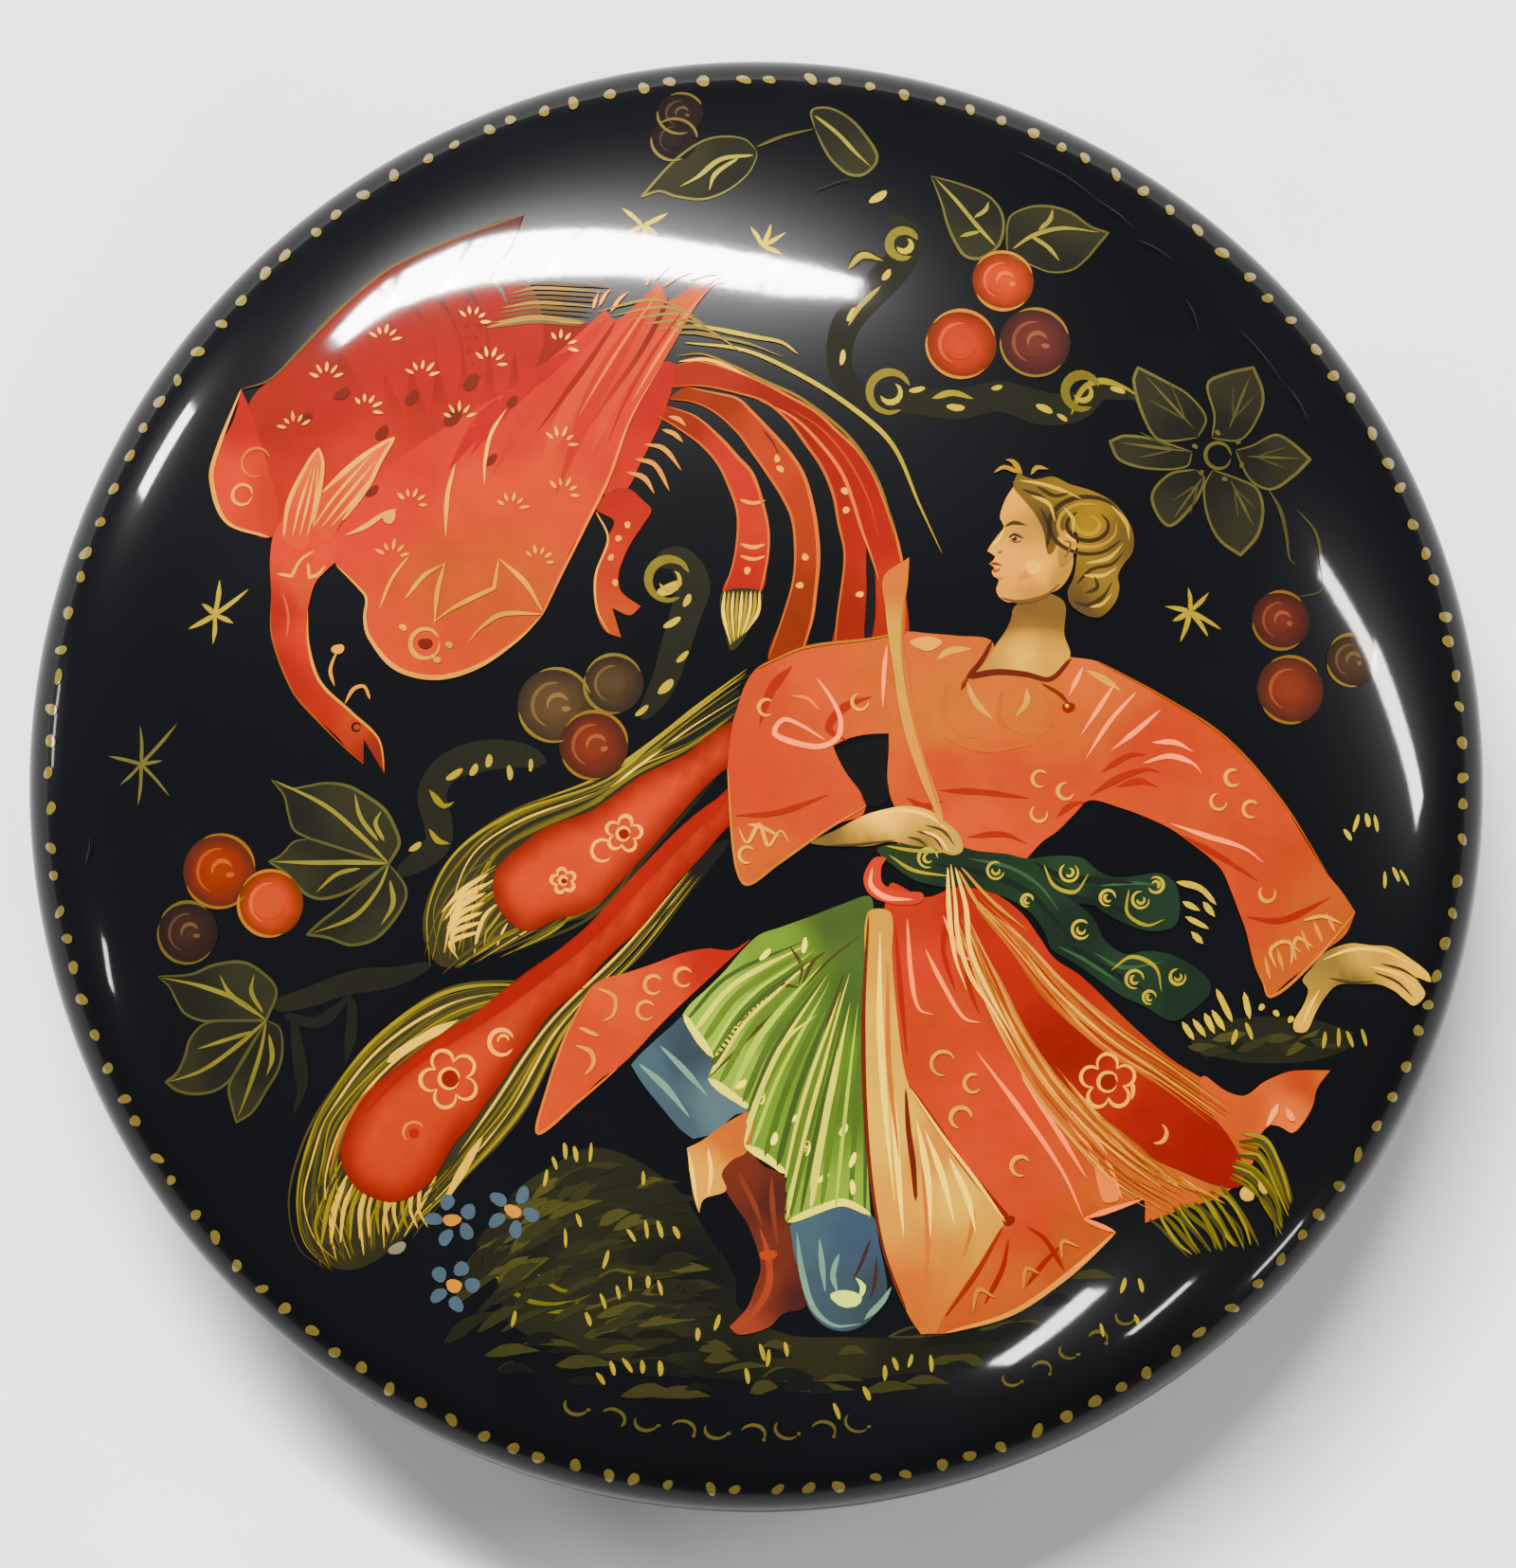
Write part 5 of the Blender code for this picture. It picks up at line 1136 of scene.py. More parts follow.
def paint_legs():
    here = group("trousers", 4)
    fill(here, [(-2.85, -8.6), (-3.85, -9.5), (-4.15, -9.85, 1), (-3.75, -10.5), (-3.1, -11.3),
        (-2.55, -11.95), (-2.1, -12.3, 1), (-1.4, -12.1), (-0.7, -11.5), (-0.2, -11.35), (-0.9, -10.0),
        (-1.4, -9.0), (-2.3, -8.2)], TROUSER, [(-3.6, -9.8, (106, 132, 142)), (-2.4, -9.4, (78, 98, 108)),
        (-1.6, -11.2, (124, 146, 150)), (-2.4, -11.6, (98, 120, 130))])
    fill(here, [(1.1, -15.2), (1.5, -14.9), (2.4, -14.5), (3.35, -14.6), (3.9, -14.9), (4.1, -15.85),
        (4.3, -16.75), (4.35, -17.3), (4.1, -17.95), (3.55, -18.5), (2.9, -18.7), (2.25, -18.5),
        (1.75, -17.95), (1.5, -17.1), (1.2, -16.2)], TROUSER, [(1.6, -15.6, (104, 132, 140)), (3.2, -15.6,
        (92, 116, 136)), (2.6, -17.2, (96, 118, 128)), (4.0, -17.4, (82, 100, 108))])
    lines = group("trouser_strokes", 5)
    strokes(lines, [[(-3.9, -9.8), (-3.0, -10.6), (-2.2, -11.6)], [(-3.2, -9.2), (-2.4, -10.0),
        (-1.6, -10.9)], [(1.35, -15.4), (1.5, -16.6), (1.9, -17.9), (2.6, -18.5), (3.5, -18.45)],
        [(2.1, -15.6), (2.2, -16.6), (2.3, -17.4)], [(2.75, -16.1), (2.55, -16.8), (2.7, -17.4)],
        [(3.6, -18.3), (4.2, -17.7), (4.5, -17.2)]], 0.2, (158, 182, 164), (0.3, 0.2))
    dab(lines, 3.0, -17.6, 1.1, 0.55, 0, (222, 224, 170))
    stroke(lines, [(3.45, -17.6), (3.55, -17.2), (3.3, -16.9)], 0.2, (222, 224, 170))
    strokes(lines, [[(3.8, -15.6), (3.5, -16.4), (3.2, -17.0)], [(4.0, -16.2), (3.95, -17.0),
        (3.8, -17.6)]], 0.12, (104, 48, 60), (0.3, 0.3))
    boot = group("boot", 5)
    fill(boot, [(-0.3, -12.7), (0.25, -13.2), (0.9, -13.5), (1.0, -14.5), (1.15, -15.4), (1.3, -16.3),
        (1.7, -17.2), (1.6, -17.9), (0.9, -18.1), (0.5, -18.5), (0.05, -18.7), (-0.6, -18.8),
        (-0.9, -18.55, 1), (-0.3, -17.9), (-0.05, -17.25), (0.15, -16.6), (0.0, -15.85), (-0.3, -15.1),
        (-0.7, -14.5), (-1.1, -13.8), (-1.05, -13.1)], BOOT, [(-0.5, -13.6, (150, 60, 48)), (0.5, -14.4,
        (112, 40, 36)), (0.6, -15.6, (146, 58, 46)), (0.5, -17.2, (160, 66, 52)), (1.2, -17.5,
        (98, 34, 34)), (-0.4, -18.6, (190, 90, 76))])
    strokes(boot, [[(0.1, -15.2), (0.4, -16.2), (0.4, -17.2), (-0.1, -18.1), (-0.7, -18.6)]], 0.26,
        (196, 92, 74), (0.1, 0.5))
    strokes(boot, [[(-0.6, -13.4), (-0.1, -14.4), (0.2, -15.2)], [(0.5, -13.5), (0.55, -14.6),
        (0.7, -15.8)]], 0.16, (170, 76, 60), (0.2, 0.2))
    dab(boot, 0.4, -16.15, 0.55, 0.4, 0, (206, 96, 66))
    cuff = group("trouser_flap", 6)
    fill(cuff, [(-0.1, -11.4), (-1.05, -11.8), (-1.8, -12.35), (-2.3, -12.6, 1), (-2.2, -13.35),
        (-2.1, -14.1), (-1.9, -14.75, 1), (-1.75, -14.3), (-1.0, -14.0), (-1.15, -13.45), (-0.8, -13.0),
        (-0.3, -12.7)], (230, 146, 50), [(-2.0, -13.9, (240, 180, 90)), (-0.6, -12.0, (226, 128, 44))])
    strokes(cuff, [[(-2.25, -12.7), (-2.1, -13.6), (-1.95, -14.6)], [(-1.6, -12.6), (-1.5, -13.4),
        (-1.6, -14.2)]], 0.14, (252, 220, 150))


def paint_skirts():
    tail = group("coat_left_corner", 5)
    fill(tail, [(-0.2, -5.7), (-0.8, -6.05), (-1.6, -6.0), (-2.45, -6.15), (-3.4, -6.5), (-4.3, -6.8),
        (-5.05, -7.0), (-5.5, -7.3), (-5.8, -7.85), (-6.3, -8.85), (-6.65, -9.75), (-6.95, -10.7),
        (-7.2, -11.5), (-7.25, -12.2, 1), (-6.65, -11.7), (-5.9, -11.05), (-5.15, -10.3), (-4.6, -9.95),
        (-4.0, -9.4), (-3.4, -8.75), (-2.65, -8.0), (-1.95, -7.35), (-1.3, -6.75)], (240, 94, 38), [(-1.4,
        -6.5, (206, 62, 38)), (-3.4, -7.4, (242, 98, 40)), (-5.6, -9.0, (243, 98, 38)), (-6.9, -11.6,
        (240, 104, 60)), (-4.6, -7.4, (244, 112, 50))])
    marks = group("coat_left_corner_marks", 7, GOLD)
    for x, y in ((-2.4, -6.95), (-3.4, -7.2), (-3.65, -8.05)):
        arc(marks, x, y, 0.3, 30, 320, 0.13, (248, 180, 104))
    strokes(marks, [[(-5.3, -7.3), (-4.7, -7.6), (-4.75, -8.2), (-5.1, -8.4)], [(-6.0, -9.2), (-5.5, -9.4),
        (-5.4, -9.8), (-5.7, -10.2)], [(-5.9, -8.6), (-5.2, -8.9)]], 0.14, (248, 180, 104), (0.4, 0.4))
    outline(marks, [(-5.5, -7.3), (-6.3, -8.85), (-6.95, -10.7), (-7.25, -12.1), (-5.9, -11.05),
        (-4.6, -9.95)], 0.1, (246, 150, 90), False)
    main_panel = group("coat_skirt", 6)
    fill(main_panel, [(4.4, -3.9), (5.6, -4.3), (6.8, -3.9), (7.8, -4.1), (8.8, -4.8), (9.4, -5.6),
        (9.9, -6.3), (10.8, -6.9), (12.6, -8.6), (14.0, -9.75), (15.7, -10.7), (16.35, -11.0),
        (16.9, -12.0), (16.6, -13.2), (15.6, -14.2), (14.4, -14.6), (13.0, -15.1, 1), (12.9, -14.3),
        (12.0, -14.6), (10.9, -14.95, 1), (12.0, -15.4, 1), (11.2, -16.1), (10.3, -16.9), (9.5, -17.5),
        (8.5, -18.1), (7.5, -18.5), (6.5, -18.75), (5.6, -18.8, 1), (4.6, -16.0), (4.1, -10.0)],
        (240, 96, 40), [(5.2, -5.0, (222, 80, 44)), (6.8, -4.6, (212, 66, 42)), (8.4, -6.8, (222, 78, 42)),
        (6.4, -8.0, (238, 94, 42)), (5.8, -6.4, (232, 90, 56)), (8.6, -12.0, (243, 98, 38)), (7.6, -10.4,
        (243, 98, 38)), (9.0, -15.0, (243, 100, 40)), (8.4, -17.2, (244, 124, 48)), (10.6, -15.8,
        (242, 112, 46)), (11.0, -12.6, (238, 110, 62)), (12.2, -13.8, (238, 124, 66)), (14.4, -13.8,
        (240, 126, 60)), (12.6, -9.0, (214, 84, 40)), (15.8, -11.2, (236, 112, 50)), (10.2, -7.6,
        (206, 66, 38)), (16.0, -13.4, (236, 124, 56))])
    inner = group("coat_lining", 7)
    fill(inner, [(3.7, -4.8), (3.6, -6.6), (3.5, -8.5), (3.55, -10.3), (3.65, -12.2), (3.8, -13.55),
        (4.0, -14.75), (4.2, -15.85), (4.45, -16.75), (4.8, -17.6), (5.15, -18.3), (5.5, -18.8, 1),
        (6.0, -18.75, 1), (6.35, -18.05), (6.9, -17.2), (7.45, -16.4), (7.9, -15.65), (8.3, -15.05, 1),
        (7.8, -14.45), (7.25, -13.6), (6.7, -12.9), (6.15, -12.15), (5.6, -11.35), (5.1, -10.6),
        (4.9, -9.95), (4.75, -8.95), (4.6, -7.55), (4.5, -6.2), (4.45, -4.8)], PANEL, [(4.1, -6.0,
        (232, 170, 72)), (4.3, -9.0, (238, 186, 84)), (4.6, -12.0, PANEL_LIGHT), (4.5, -14.6,
        (236, 172, 66)), (5.2, -17.2, (232, 138, 38)), (6.6, -14.4, (242, 192, 88)), (6.0, -16.0,
        (236, 158, 52)), (7.7, -15.2, (236, 176, 78)), (5.8, -12.6, (236, 160, 64))])
    folds = group("coat_lining_folds", 8)
    strokes(folds, [[(3.72, -4.9), (3.55, -8.5), (3.7, -12.6), (4.2, -15.85), (5.0, -18.0)]], 0.14,
        (150, 46, 34), (0.7, 0.5))
    stroke(folds, [(4.95, -10.6), (5.05, -12.0), (5.2, -13.1), (5.3, -14.35)], 0.2, (150, 40, 34),
        (0.3, 0.8))
    strokes(folds, [[(4.1, -5.4), (4.1, -8.4), (4.3, -11.6), (4.6, -14.4)], [(5.6, -12.0), (6.2, -13.6),
        (6.6, -15.2)], [(5.3, -11.6), (5.7, -13.6), (5.8, -15.6)], [(6.4, -12.9), (7.0, -14.2),
        (7.3, -15.4)], [(4.5, -10.4), (4.7, -13.2), (4.9, -15.6)]], 0.22, (250, 222, 134), (0.2, 0.1))
    strokes(folds, [[(4.35, -6.4), (4.4, -9.8), (4.75, -13.0)], [(5.5, -13.2), (5.7, -15.4), (5.6, -17.4)],
        [(6.9, -13.9), (7.2, -14.9), (6.9, -16.2)]], 0.16, (238, 140, 48), (0.2, 0.2))
    lines = group("coat_skirt_lines", 8)
    stroke(lines, [(5.05, -10.5), (6.0, -11.9), (7.0, -13.3), (8.0, -14.5), (8.4, -14.9)], 0.18,
        (176, 50, 34), (0.4, 0.9))
    dab(lines, 8.4, -15.0, 0.4, 0.34, 0, (170, 46, 34))
    stroke(lines, [(8.2, -15.2), (7.3, -16.8), (6.3, -18.2)], 0.14, (200, 66, 36), (0.4, 0.4))
    strokes(lines, [[(4.6, -5.2), (4.8, -7.6), (5.0, -9.6)], [(7.6, -5.4), (7.0, -6.8), (7.4, -8.2)],
        [(6.4, -4.6), (6.2, -6.0), (6.6, -7.4)], [(10.3, -16.7), (9.6, -15.6), (9.0, -15.2)], [(7.6, -17.8),
        (8.2, -16.6), (8.4, -15.6)], [(9.0, -17.2), (9.6, -16.4), (10.2, -15.8)]], 0.16, (200, 60, 38),
        (0.2, 0.2))
    lights = group("coat_skirt_lights", 9)
    strokes(lights, [[(5.0, -5.0), (5.15, -7.0), (5.4, -8.0), (5.9, -8.2)], [(5.6, -6.0), (6.2, -7.2),
        (6.9, -8.3), (7.45, -8.45)], [(6.2, -4.9), (6.8, -6.2), (7.2, -6.4)], [(7.3, -9.4), (8.9, -11.5),
        (10.2, -13.4), (10.9, -14.9)], [(10.9, -14.95), (12.0, -14.6), (12.9, -14.3)], [(10.9, -14.95),
        (12.0, -15.4)], [(8.8, -10.2), (10.0, -12.0), (11.0, -13.6)], [(9.6, -10.6), (10.8, -12.2),
        (11.9, -13.9)], [(10.4, -11.2), (11.6, -12.8), (12.2, -14.3)]], 0.16, (248, 172, 140), (0.3, 0.3))
    stroke(lights, [(12.0, -15.4), (10.3, -16.9), (8.5, -18.1), (6.3, -18.75)], 0.18, (246, 176, 110),
        (0.5, 0.4))
    fill(lights, [(11.3, -13.2), (11.9, -13.7), (12.1, -14.3), (11.6, -14.4), (11.4, -13.9)],
        (246, 160, 116))
    stroke(lights, [(8.3, -15.05), (7.25, -13.6), (6.15, -12.15), (5.1, -10.6)], 0.12, (250, 206, 130),
        (0.4, 0.3))
    trim = group("coat_skirt_trim", 10, GOLD)
    for x, y, radius, turn in ((6.2, -9.8, 0.4, 20), (7.2, -10.45, 0.3, 60), (6.8, -11.6, 0.35, 0),
            (8.8, -13.2, 0.32, 30)):
        arc(trim, x, y, radius, turn, turn + 260, 0.14, (248, 186, 110))
    strokes(trim, [[(7.2, -18.1), (7.4, -17.3), (8.0, -17.6)], [(8.9, -17.3), (9.0, -16.6), (9.5, -16.8)],
        [(10.2, -16.3), (10.2, -15.7), (10.8, -15.9)]], 0.14, (246, 170, 90), (0.4, 0.3))


def paint_caught_plume():
    here = group("caught_plume", 9)
    tip = [(14.9, -10.2), (15.7, -10.7), (16.35, -10.85), (17.0, -10.4), (17.85, -10.05), (18.6, -10.0),
        (19.3, -10.0, 1), (18.85, -10.6), (18.7, -11.2), (18.35, -11.8), (18.0, -12.1), (17.6, -11.9),
        (17.2, -11.85), (16.6, -12.4), (15.6, -12.0), (14.9, -11.2)]
    fill(group("coat_tip", 7), tip, (226, 102, 50), [(18.4, -10.4, (226, 96, 48)), (16.4, -11.4,
        (236, 116, 54)), (17.9, -11.5, (244, 150, 104)), (19.1, -10.1, (236, 130, 64))])
    core = [(7.0, -4.4), (7.6, -4.9), (8.6, -5.8), (9.6, -7.0), (10.6, -8.2), (11.6, -9.2), (13.0, -10.0),
        (14.2, -10.7), (15.2, -11.5), (16.0, -12.5), (16.35, -13.4), (16.2, -13.9), (15.3, -13.8),
        (14.3, -13.4), (13.2, -12.9), (12.4, -12.2), (11.6, -11.6), (10.7, -10.9), (9.9, -10.1),
        (9.2, -9.0), (8.4, -7.6), (7.7, -6.2), (7.0, -5.0)]
    fill(here, core, (190, 50, 36), [(8.4, -6.4, (206, 66, 40)), (10.6, -9.4, (180, 44, 34)), (13.0, -11.4,
        (196, 54, 38)), (15.4, -12.9, (190, 48, 36)), (12.2, -10.6, (206, 70, 46))])
    hair = group("caught_plume_hairs", 10, GOLD)
    warm = [(240, 150, 60), (246, 176, 90), (222, 120, 54), (236, 136, 60), (250, 196, 110)]
    hairs(hair, [(7.3, -4.3), (8.9, -5.6), (10.2, -7.0), (11.9, -8.6), (14.0, -9.9), (16.0, -11.3)],
        [(7.2, -4.6), (8.5, -6.1), (9.6, -7.6), (11.4, -9.3), (13.4, -10.6), (15.4, -12.0)], 9, 0.12, warm)
    hairs(hair, [(6.9, -4.8), (7.9, -6.9), (9.1, -9.1), (10.6, -11.0), (12.6, -12.8), (14.6, -14.0)],
        [(6.7, -5.2), (7.6, -7.8), (8.9, -10.3), (10.4, -12.3), (12.0, -13.9), (13.6, -14.9)], 12, 0.13,
        warm)
    hairs(hair, [(9.6, -9.6), (10.8, -11.2), (12.2, -12.6), (13.4, -13.6)], [(12.2, -12.4), (13.6, -13.4),
        (14.8, -14.0), (15.6, -14.4)], 12, 0.12, warm, (0.1, 0.3))
    olive = [(150, 134, 62), (196, 178, 92), (120, 108, 50), (176, 160, 80)]
    hairs(hair, [(16.3, -12.0), (17.0, -12.2), (17.6, -13.2), (18.1, -14.4)], [(15.8, -13.6), (16.6, -13.9),
        (17.2, -14.7), (17.6, -15.6)], 13, 0.17, olive, (0.7, 0.4))
    hairs(hair, [(15.6, -13.9), (16.0, -14.3), (16.6, -15.1), (16.9, -15.9)], [(13.2, -14.9), (13.5, -15.2),
        (14.0, -15.8), (14.4, -16.2)], 15, 0.17, olive, (0.7, 0.5))
    dab(hair, 16.45, -14.15, 0.6, 0.4, -50, (226, 206, 100))
    dab(hair, 17.0, -13.9, 0.5, 0.3, -60, (226, 206, 100))
    marks = group("caught_plume_marks", 11)
    rosette(marks, 11.7, -10.4, 0.95, 20)
    dab(marks, 11.75, -10.35, 0.4, 0.3, 0, (40, 20, 18))
    stroke(marks, [(12.5, -10.3), (12.55, -10.7), (12.5, -11.0)], 0.15, (246, 186, 112))
    arc(marks, 13.35, -12.1, 0.34, 250, 420, 0.15, (246, 178, 104))
    stroke(marks, [(17.5, -11.1), (17.3, -11.5), (17.1, -11.9)], 0.2, (250, 196, 160))
    dab(marks, 17.9, -11.5, 0.5, 0.24, -50, (250, 184, 150))


def paint_stem():
    here = group("plume_stem", 11)
    fill(here, [(5.1, 7.05, 1), (5.05, 6.2), (4.92, 5.3), (4.87, 4.35), (4.97, 3.4), (5.1, 2.5),
        (5.3, 1.55), (5.5, 0.65), (5.8, -0.3), (6.05, -1.05), (6.2, -1.7), (6.1, -1.9), (5.9, -1.4),
        (5.5, -0.5), (5.15, 0.45), (4.87, 1.4), (4.7, 2.3), (4.55, 3.4), (4.4, 4.35), (4.3, 5.3),
        (4.25, 6.4)], (228, 164, 48), [(4.7, 6.5, (228, 136, 46)), (4.7, 4.0, (232, 172, 56)), (5.5, 0.2,
        (228, 166, 50))])
    stroke(here, [(5.05, 6.6), (4.85, 4.6), (5.0, 2.7), (5.6, 0.2), (6.15, -1.6)], 0.1, (226, 130, 50),
        (0.4, 0.4))
    strokes(here, [[(6.45, -3.2), (6.6, -4.4), (6.7, -5.6), (7.1, -6.9), (7.9, -8.1), (8.8, -9.7)],
        [(6.6, -3.3), (6.95, -4.6), (7.1, -6.0), (7.8, -7.6), (8.6, -9.0)], [(6.35, -3.3), (6.4, -4.8),
        (6.6, -6.3), (7.0, -7.4)]], 0.16, (250, 206, 110), (0.5, 0.1))
    strokes(here, [[(6.7, -3.4), (7.4, -4.6), (8.4, -5.7)], [(6.8, -3.3), (7.8, -4.4), (9.0, -5.4)]], 0.12,
        (240, 160, 70), (0.5, 0.1))


# The garden: berries, leaves, twisted branches, a dark flower, stars, grass and small flowers.

BERRIES = [(8.35, 16.65, 1.05, (236, 90, 50)), (6.9, 14.4, 1.2, (238, 84, 46)), (9.4, 14.5, 1.2,
    (128, 50, 50)), (17.65, 5.1, 1.0, (136, 46, 40)), (17.95, 2.75, 1.15, (156, 60, 46)), (20.1, 3.8, 0.9,
    (96, 60, 40)), (-6.7, 2.1, 1.25, (115, 80, 50)), (-4.75, 2.8, 1.0, (100, 70, 44)), (-5.4, 0.75, 1.15,
    (148, 52, 38)), (-18.0, -3.35, 1.25, (176, 60, 40)), (-16.25, -4.45, 1.12, (240, 95, 40)), (-19.1, -5.4,
    1.05, (70, 35, 28)), (-2.6, 22.7, 0.8, (44, 22, 22)), (-2.8, 21.7, 0.8, (40, 20, 20))]


def paint_berries():
    here = group("berries", 2)
    shine = group("berry_highlights", 3)
    rims = group("berry_rims", 4, GOLD)
    for x, y, radius, colour in BERRIES:
        dark = blended(colour, (20, 12, 12), 0.45)
        light = blended(colour, (255, 214, 150), 0.35)
        disc(here, x, y, radius, colour, rim=(dark, radius * 0.55))
        disc(shine, x - radius * 0.05, y + radius * 0.05, radius * 0.5, blended(colour, light, 0.22),
            rim=(colour, radius * 0.4))
        arc(shine, x, y, radius * 0.6, 80, 250, radius * 0.1, blended(colour, light, 0.7))
        arc(shine, x + radius * 0.08, y, radius * 0.28, 20, 200, radius * 0.12, light)
        dab(shine, x + radius * 0.3, y - radius * 0.1, radius * 0.22, radius * 0.16, 0, light)
        for start in (20, 190):
            arc(rims, x, y, radius * 0.98, start + RNG.uniform(-30, 30), start + RNG.uniform(90, 140), 0.11,
                blended(GOLD_LEAF, colour, 0.35))


LEAVES = [[(-16.25, -0.3, 1), (-15.6, -0.6), (-15.05, -0.55), (-14.4, -0.45), (-13.65, -0.55),
    (-13.0, -0.9), (-12.4, -1.35), (-12.05, -1.95), (-11.9, -2.5), (-12.25, -3.15, 1), (-14.9, -2.3, 1),
    (-15.45, -2.0), (-15.65, -1.45), (-15.8, -0.85)], [(-14.9, -2.3, 1), (-15.45, -2.4), (-15.9, -2.85),
    (-16.3, -3.05, 1), (-15.65, -3.5), (-15.1, -4.1), (-14.6, -4.3), (-13.95, -4.2), (-13.4, -3.95),
    (-12.25, -3.15, 1)], [(-12.25, -3.15, 1), (-11.7, -3.9), (-11.7, -4.4), (-12.25, -5.25), (-12.8, -5.7),
    (-13.55, -5.85), (-14.3, -5.6), (-15.0, -5.5, 1), (-14.5, -5.05), (-13.9, -4.6), (-13.35, -4.1)],
    [(-20.15, -6.85, 1), (-19.0, -6.8), (-18.2, -6.5), (-17.25, -6.4), (-16.6, -6.7), (-16.05, -7.35),
    (-16.4, -8.35, 1), (-17.95, -8.35, 1), (-18.6, -8.35), (-19.2, -8.1), (-19.45, -7.75), (-19.75, -7.2)],
    [(-17.95, -8.35, 1), (-18.6, -8.5), (-19.05, -9.0), (-19.2, -9.5), (-19.5, -10.1), (-19.9, -10.4, 1),
    (-19.45, -10.7), (-18.8, -10.8), (-18.1, -10.65), (-17.55, -10.2), (-16.4, -8.35, 1)],
    [(-16.4, -8.35, 1), (-17.55, -10.2), (-17.7, -10.65), (-17.6, -11.2), (-17.45, -11.75, 1),
    (-16.9, -11.4), (-16.4, -10.65), (-16.0, -10.0), (-15.85, -9.35), (-15.95, -8.6)], [(2.0, 22.1),
    (2.3, 21.4), (2.6, 20.9), (3.1, 20.45), (3.6, 20.4), (4.05, 20.8), (4.1, 21.2), (3.7, 21.9),
    (3.2, 22.5), (2.5, 22.9), (1.9, 22.8)], [(0.0, 21.3, 1), (-0.4, 21.7), (-1.2, 21.8), (-1.9, 21.6),
    (-2.8, 20.9), (-3.9, 19.6, 1), (-3.3, 19.8), (-2.7, 19.6), (-1.8, 19.5), (-1.0, 19.8), (-0.3, 20.4),
    (0.0, 21.0)], [(5.95, 20.4, 1), (6.3, 19.4), (6.5, 18.6), (6.8, 17.9), (7.1, 17.5), (7.6, 17.45),
    (8.2, 17.9), (8.4, 18.6), (8.3, 19.2), (7.9, 19.7), (7.0, 20.1)], [(8.5, 17.6), (8.6, 18.9),
    (9.2, 19.3), (9.9, 19.4), (10.7, 19.2), (11.4, 18.7), (12.0, 18.5, 1), (11.6, 18.0), (11.2, 17.5),
    (10.7, 17.1), (10.0, 17.0), (9.4, 17.2)]]
LEAF_VEINS = [[(-12.25, -3.15), (-13.2, -2.2), (-14.4, -1.2), (-16.1, -0.35)], [(-12.6, -2.4),
    (-13.2, -1.6), (-13.4, -0.8)], [(-12.4, -2.4), (-12.7, -1.8), (-12.5, -1.4)], [(-12.3, -3.15),
    (-13.4, -3.1), (-14.8, -3.1), (-16.2, -3.05)], [(-13.2, -3.3), (-14.0, -3.5), (-14.7, -4.1)],
    [(-12.25, -3.2), (-12.6, -4.0), (-13.4, -4.9), (-14.8, -5.45)], [(-12.2, -3.7), (-12.1, -4.5),
    (-12.5, -5.2)], [(-16.4, -8.35), (-17.3, -7.7), (-18.6, -7.2), (-20.0, -6.9)], [(-16.5, -8.1),
    (-16.9, -7.4), (-16.8, -6.8)], [(-16.6, -8.2), (-17.6, -7.5), (-18.0, -6.8)], [(-16.4, -8.35),
    (-17.4, -9.2), (-18.6, -10.0), (-19.8, -10.4)], [(-16.8, -8.7), (-17.8, -9.0), (-18.8, -9.3)],
    [(-16.4, -8.4), (-16.6, -9.4), (-17.0, -10.6), (-17.4, -11.6)], [(-16.3, -8.8), (-16.2, -9.6),
    (-16.4, -10.2)], [(2.0, 22.6), (2.8, 21.9), (3.4, 21.2), (3.9, 20.7)], [(-0.1, 21.1), (-1.2, 20.95),
    (-2.0, 20.3), (-2.6, 19.95)], [(-0.6, 21.0), (-1.4, 20.4), (-1.6, 19.8)], [(8.1, 17.9), (7.5, 18.6),
    (6.8, 19.5), (6.1, 20.3)], [(7.6, 18.4), (7.2, 18.3), (6.9, 18.2)], [(7.4, 18.9), (7.8, 19.2),
    (7.9, 19.5)], [(8.7, 17.8), (9.4, 18.3), (10.4, 18.6), (11.7, 18.5)], [(9.3, 18.3), (9.9, 17.9),
    (10.3, 17.4)], [(9.6, 18.5), (10.0, 18.9), (10.1, 19.3)]]
FLOWER = (15.6, 10.7)
PETALS = [[(14.9, 11.3), (13.6, 11.2), (13.1, 11.9), (12.75, 13.2), (12.9, 13.7, 1), (13.9, 13.2),
    (14.6, 12.8), (15.2, 12.0)], [(15.4, 11.3), (15.5, 12.1), (15.3, 13.2), (16.0, 13.6), (16.9, 13.85, 1),
    (17.2, 13.0), (17.1, 12.3), (16.4, 11.3)], [(16.2, 10.9), (16.8, 11.1), (17.6, 11.5), (18.1, 11.3),
    (18.8, 10.7, 1), (18.2, 10.1), (17.4, 9.6), (16.7, 9.9)], [(15.4, 10.2), (16.3, 9.9), (16.9, 9.6),
    (17.1, 8.9), (16.9, 8.0), (16.3, 7.3, 1), (15.6, 7.8), (15.2, 8.6), (15.1, 9.6)], [(14.8, 10.2),
    (13.9, 10.0), (13.3, 9.2), (13.85, 8.25), (14.7, 9.0), (15.1, 9.9)], [(14.7, 10.8), (13.4, 11.2),
    (12.4, 11.3), (11.9, 11.1, 1), (12.2, 10.5), (13.2, 10.2), (14.5, 10.3)]]


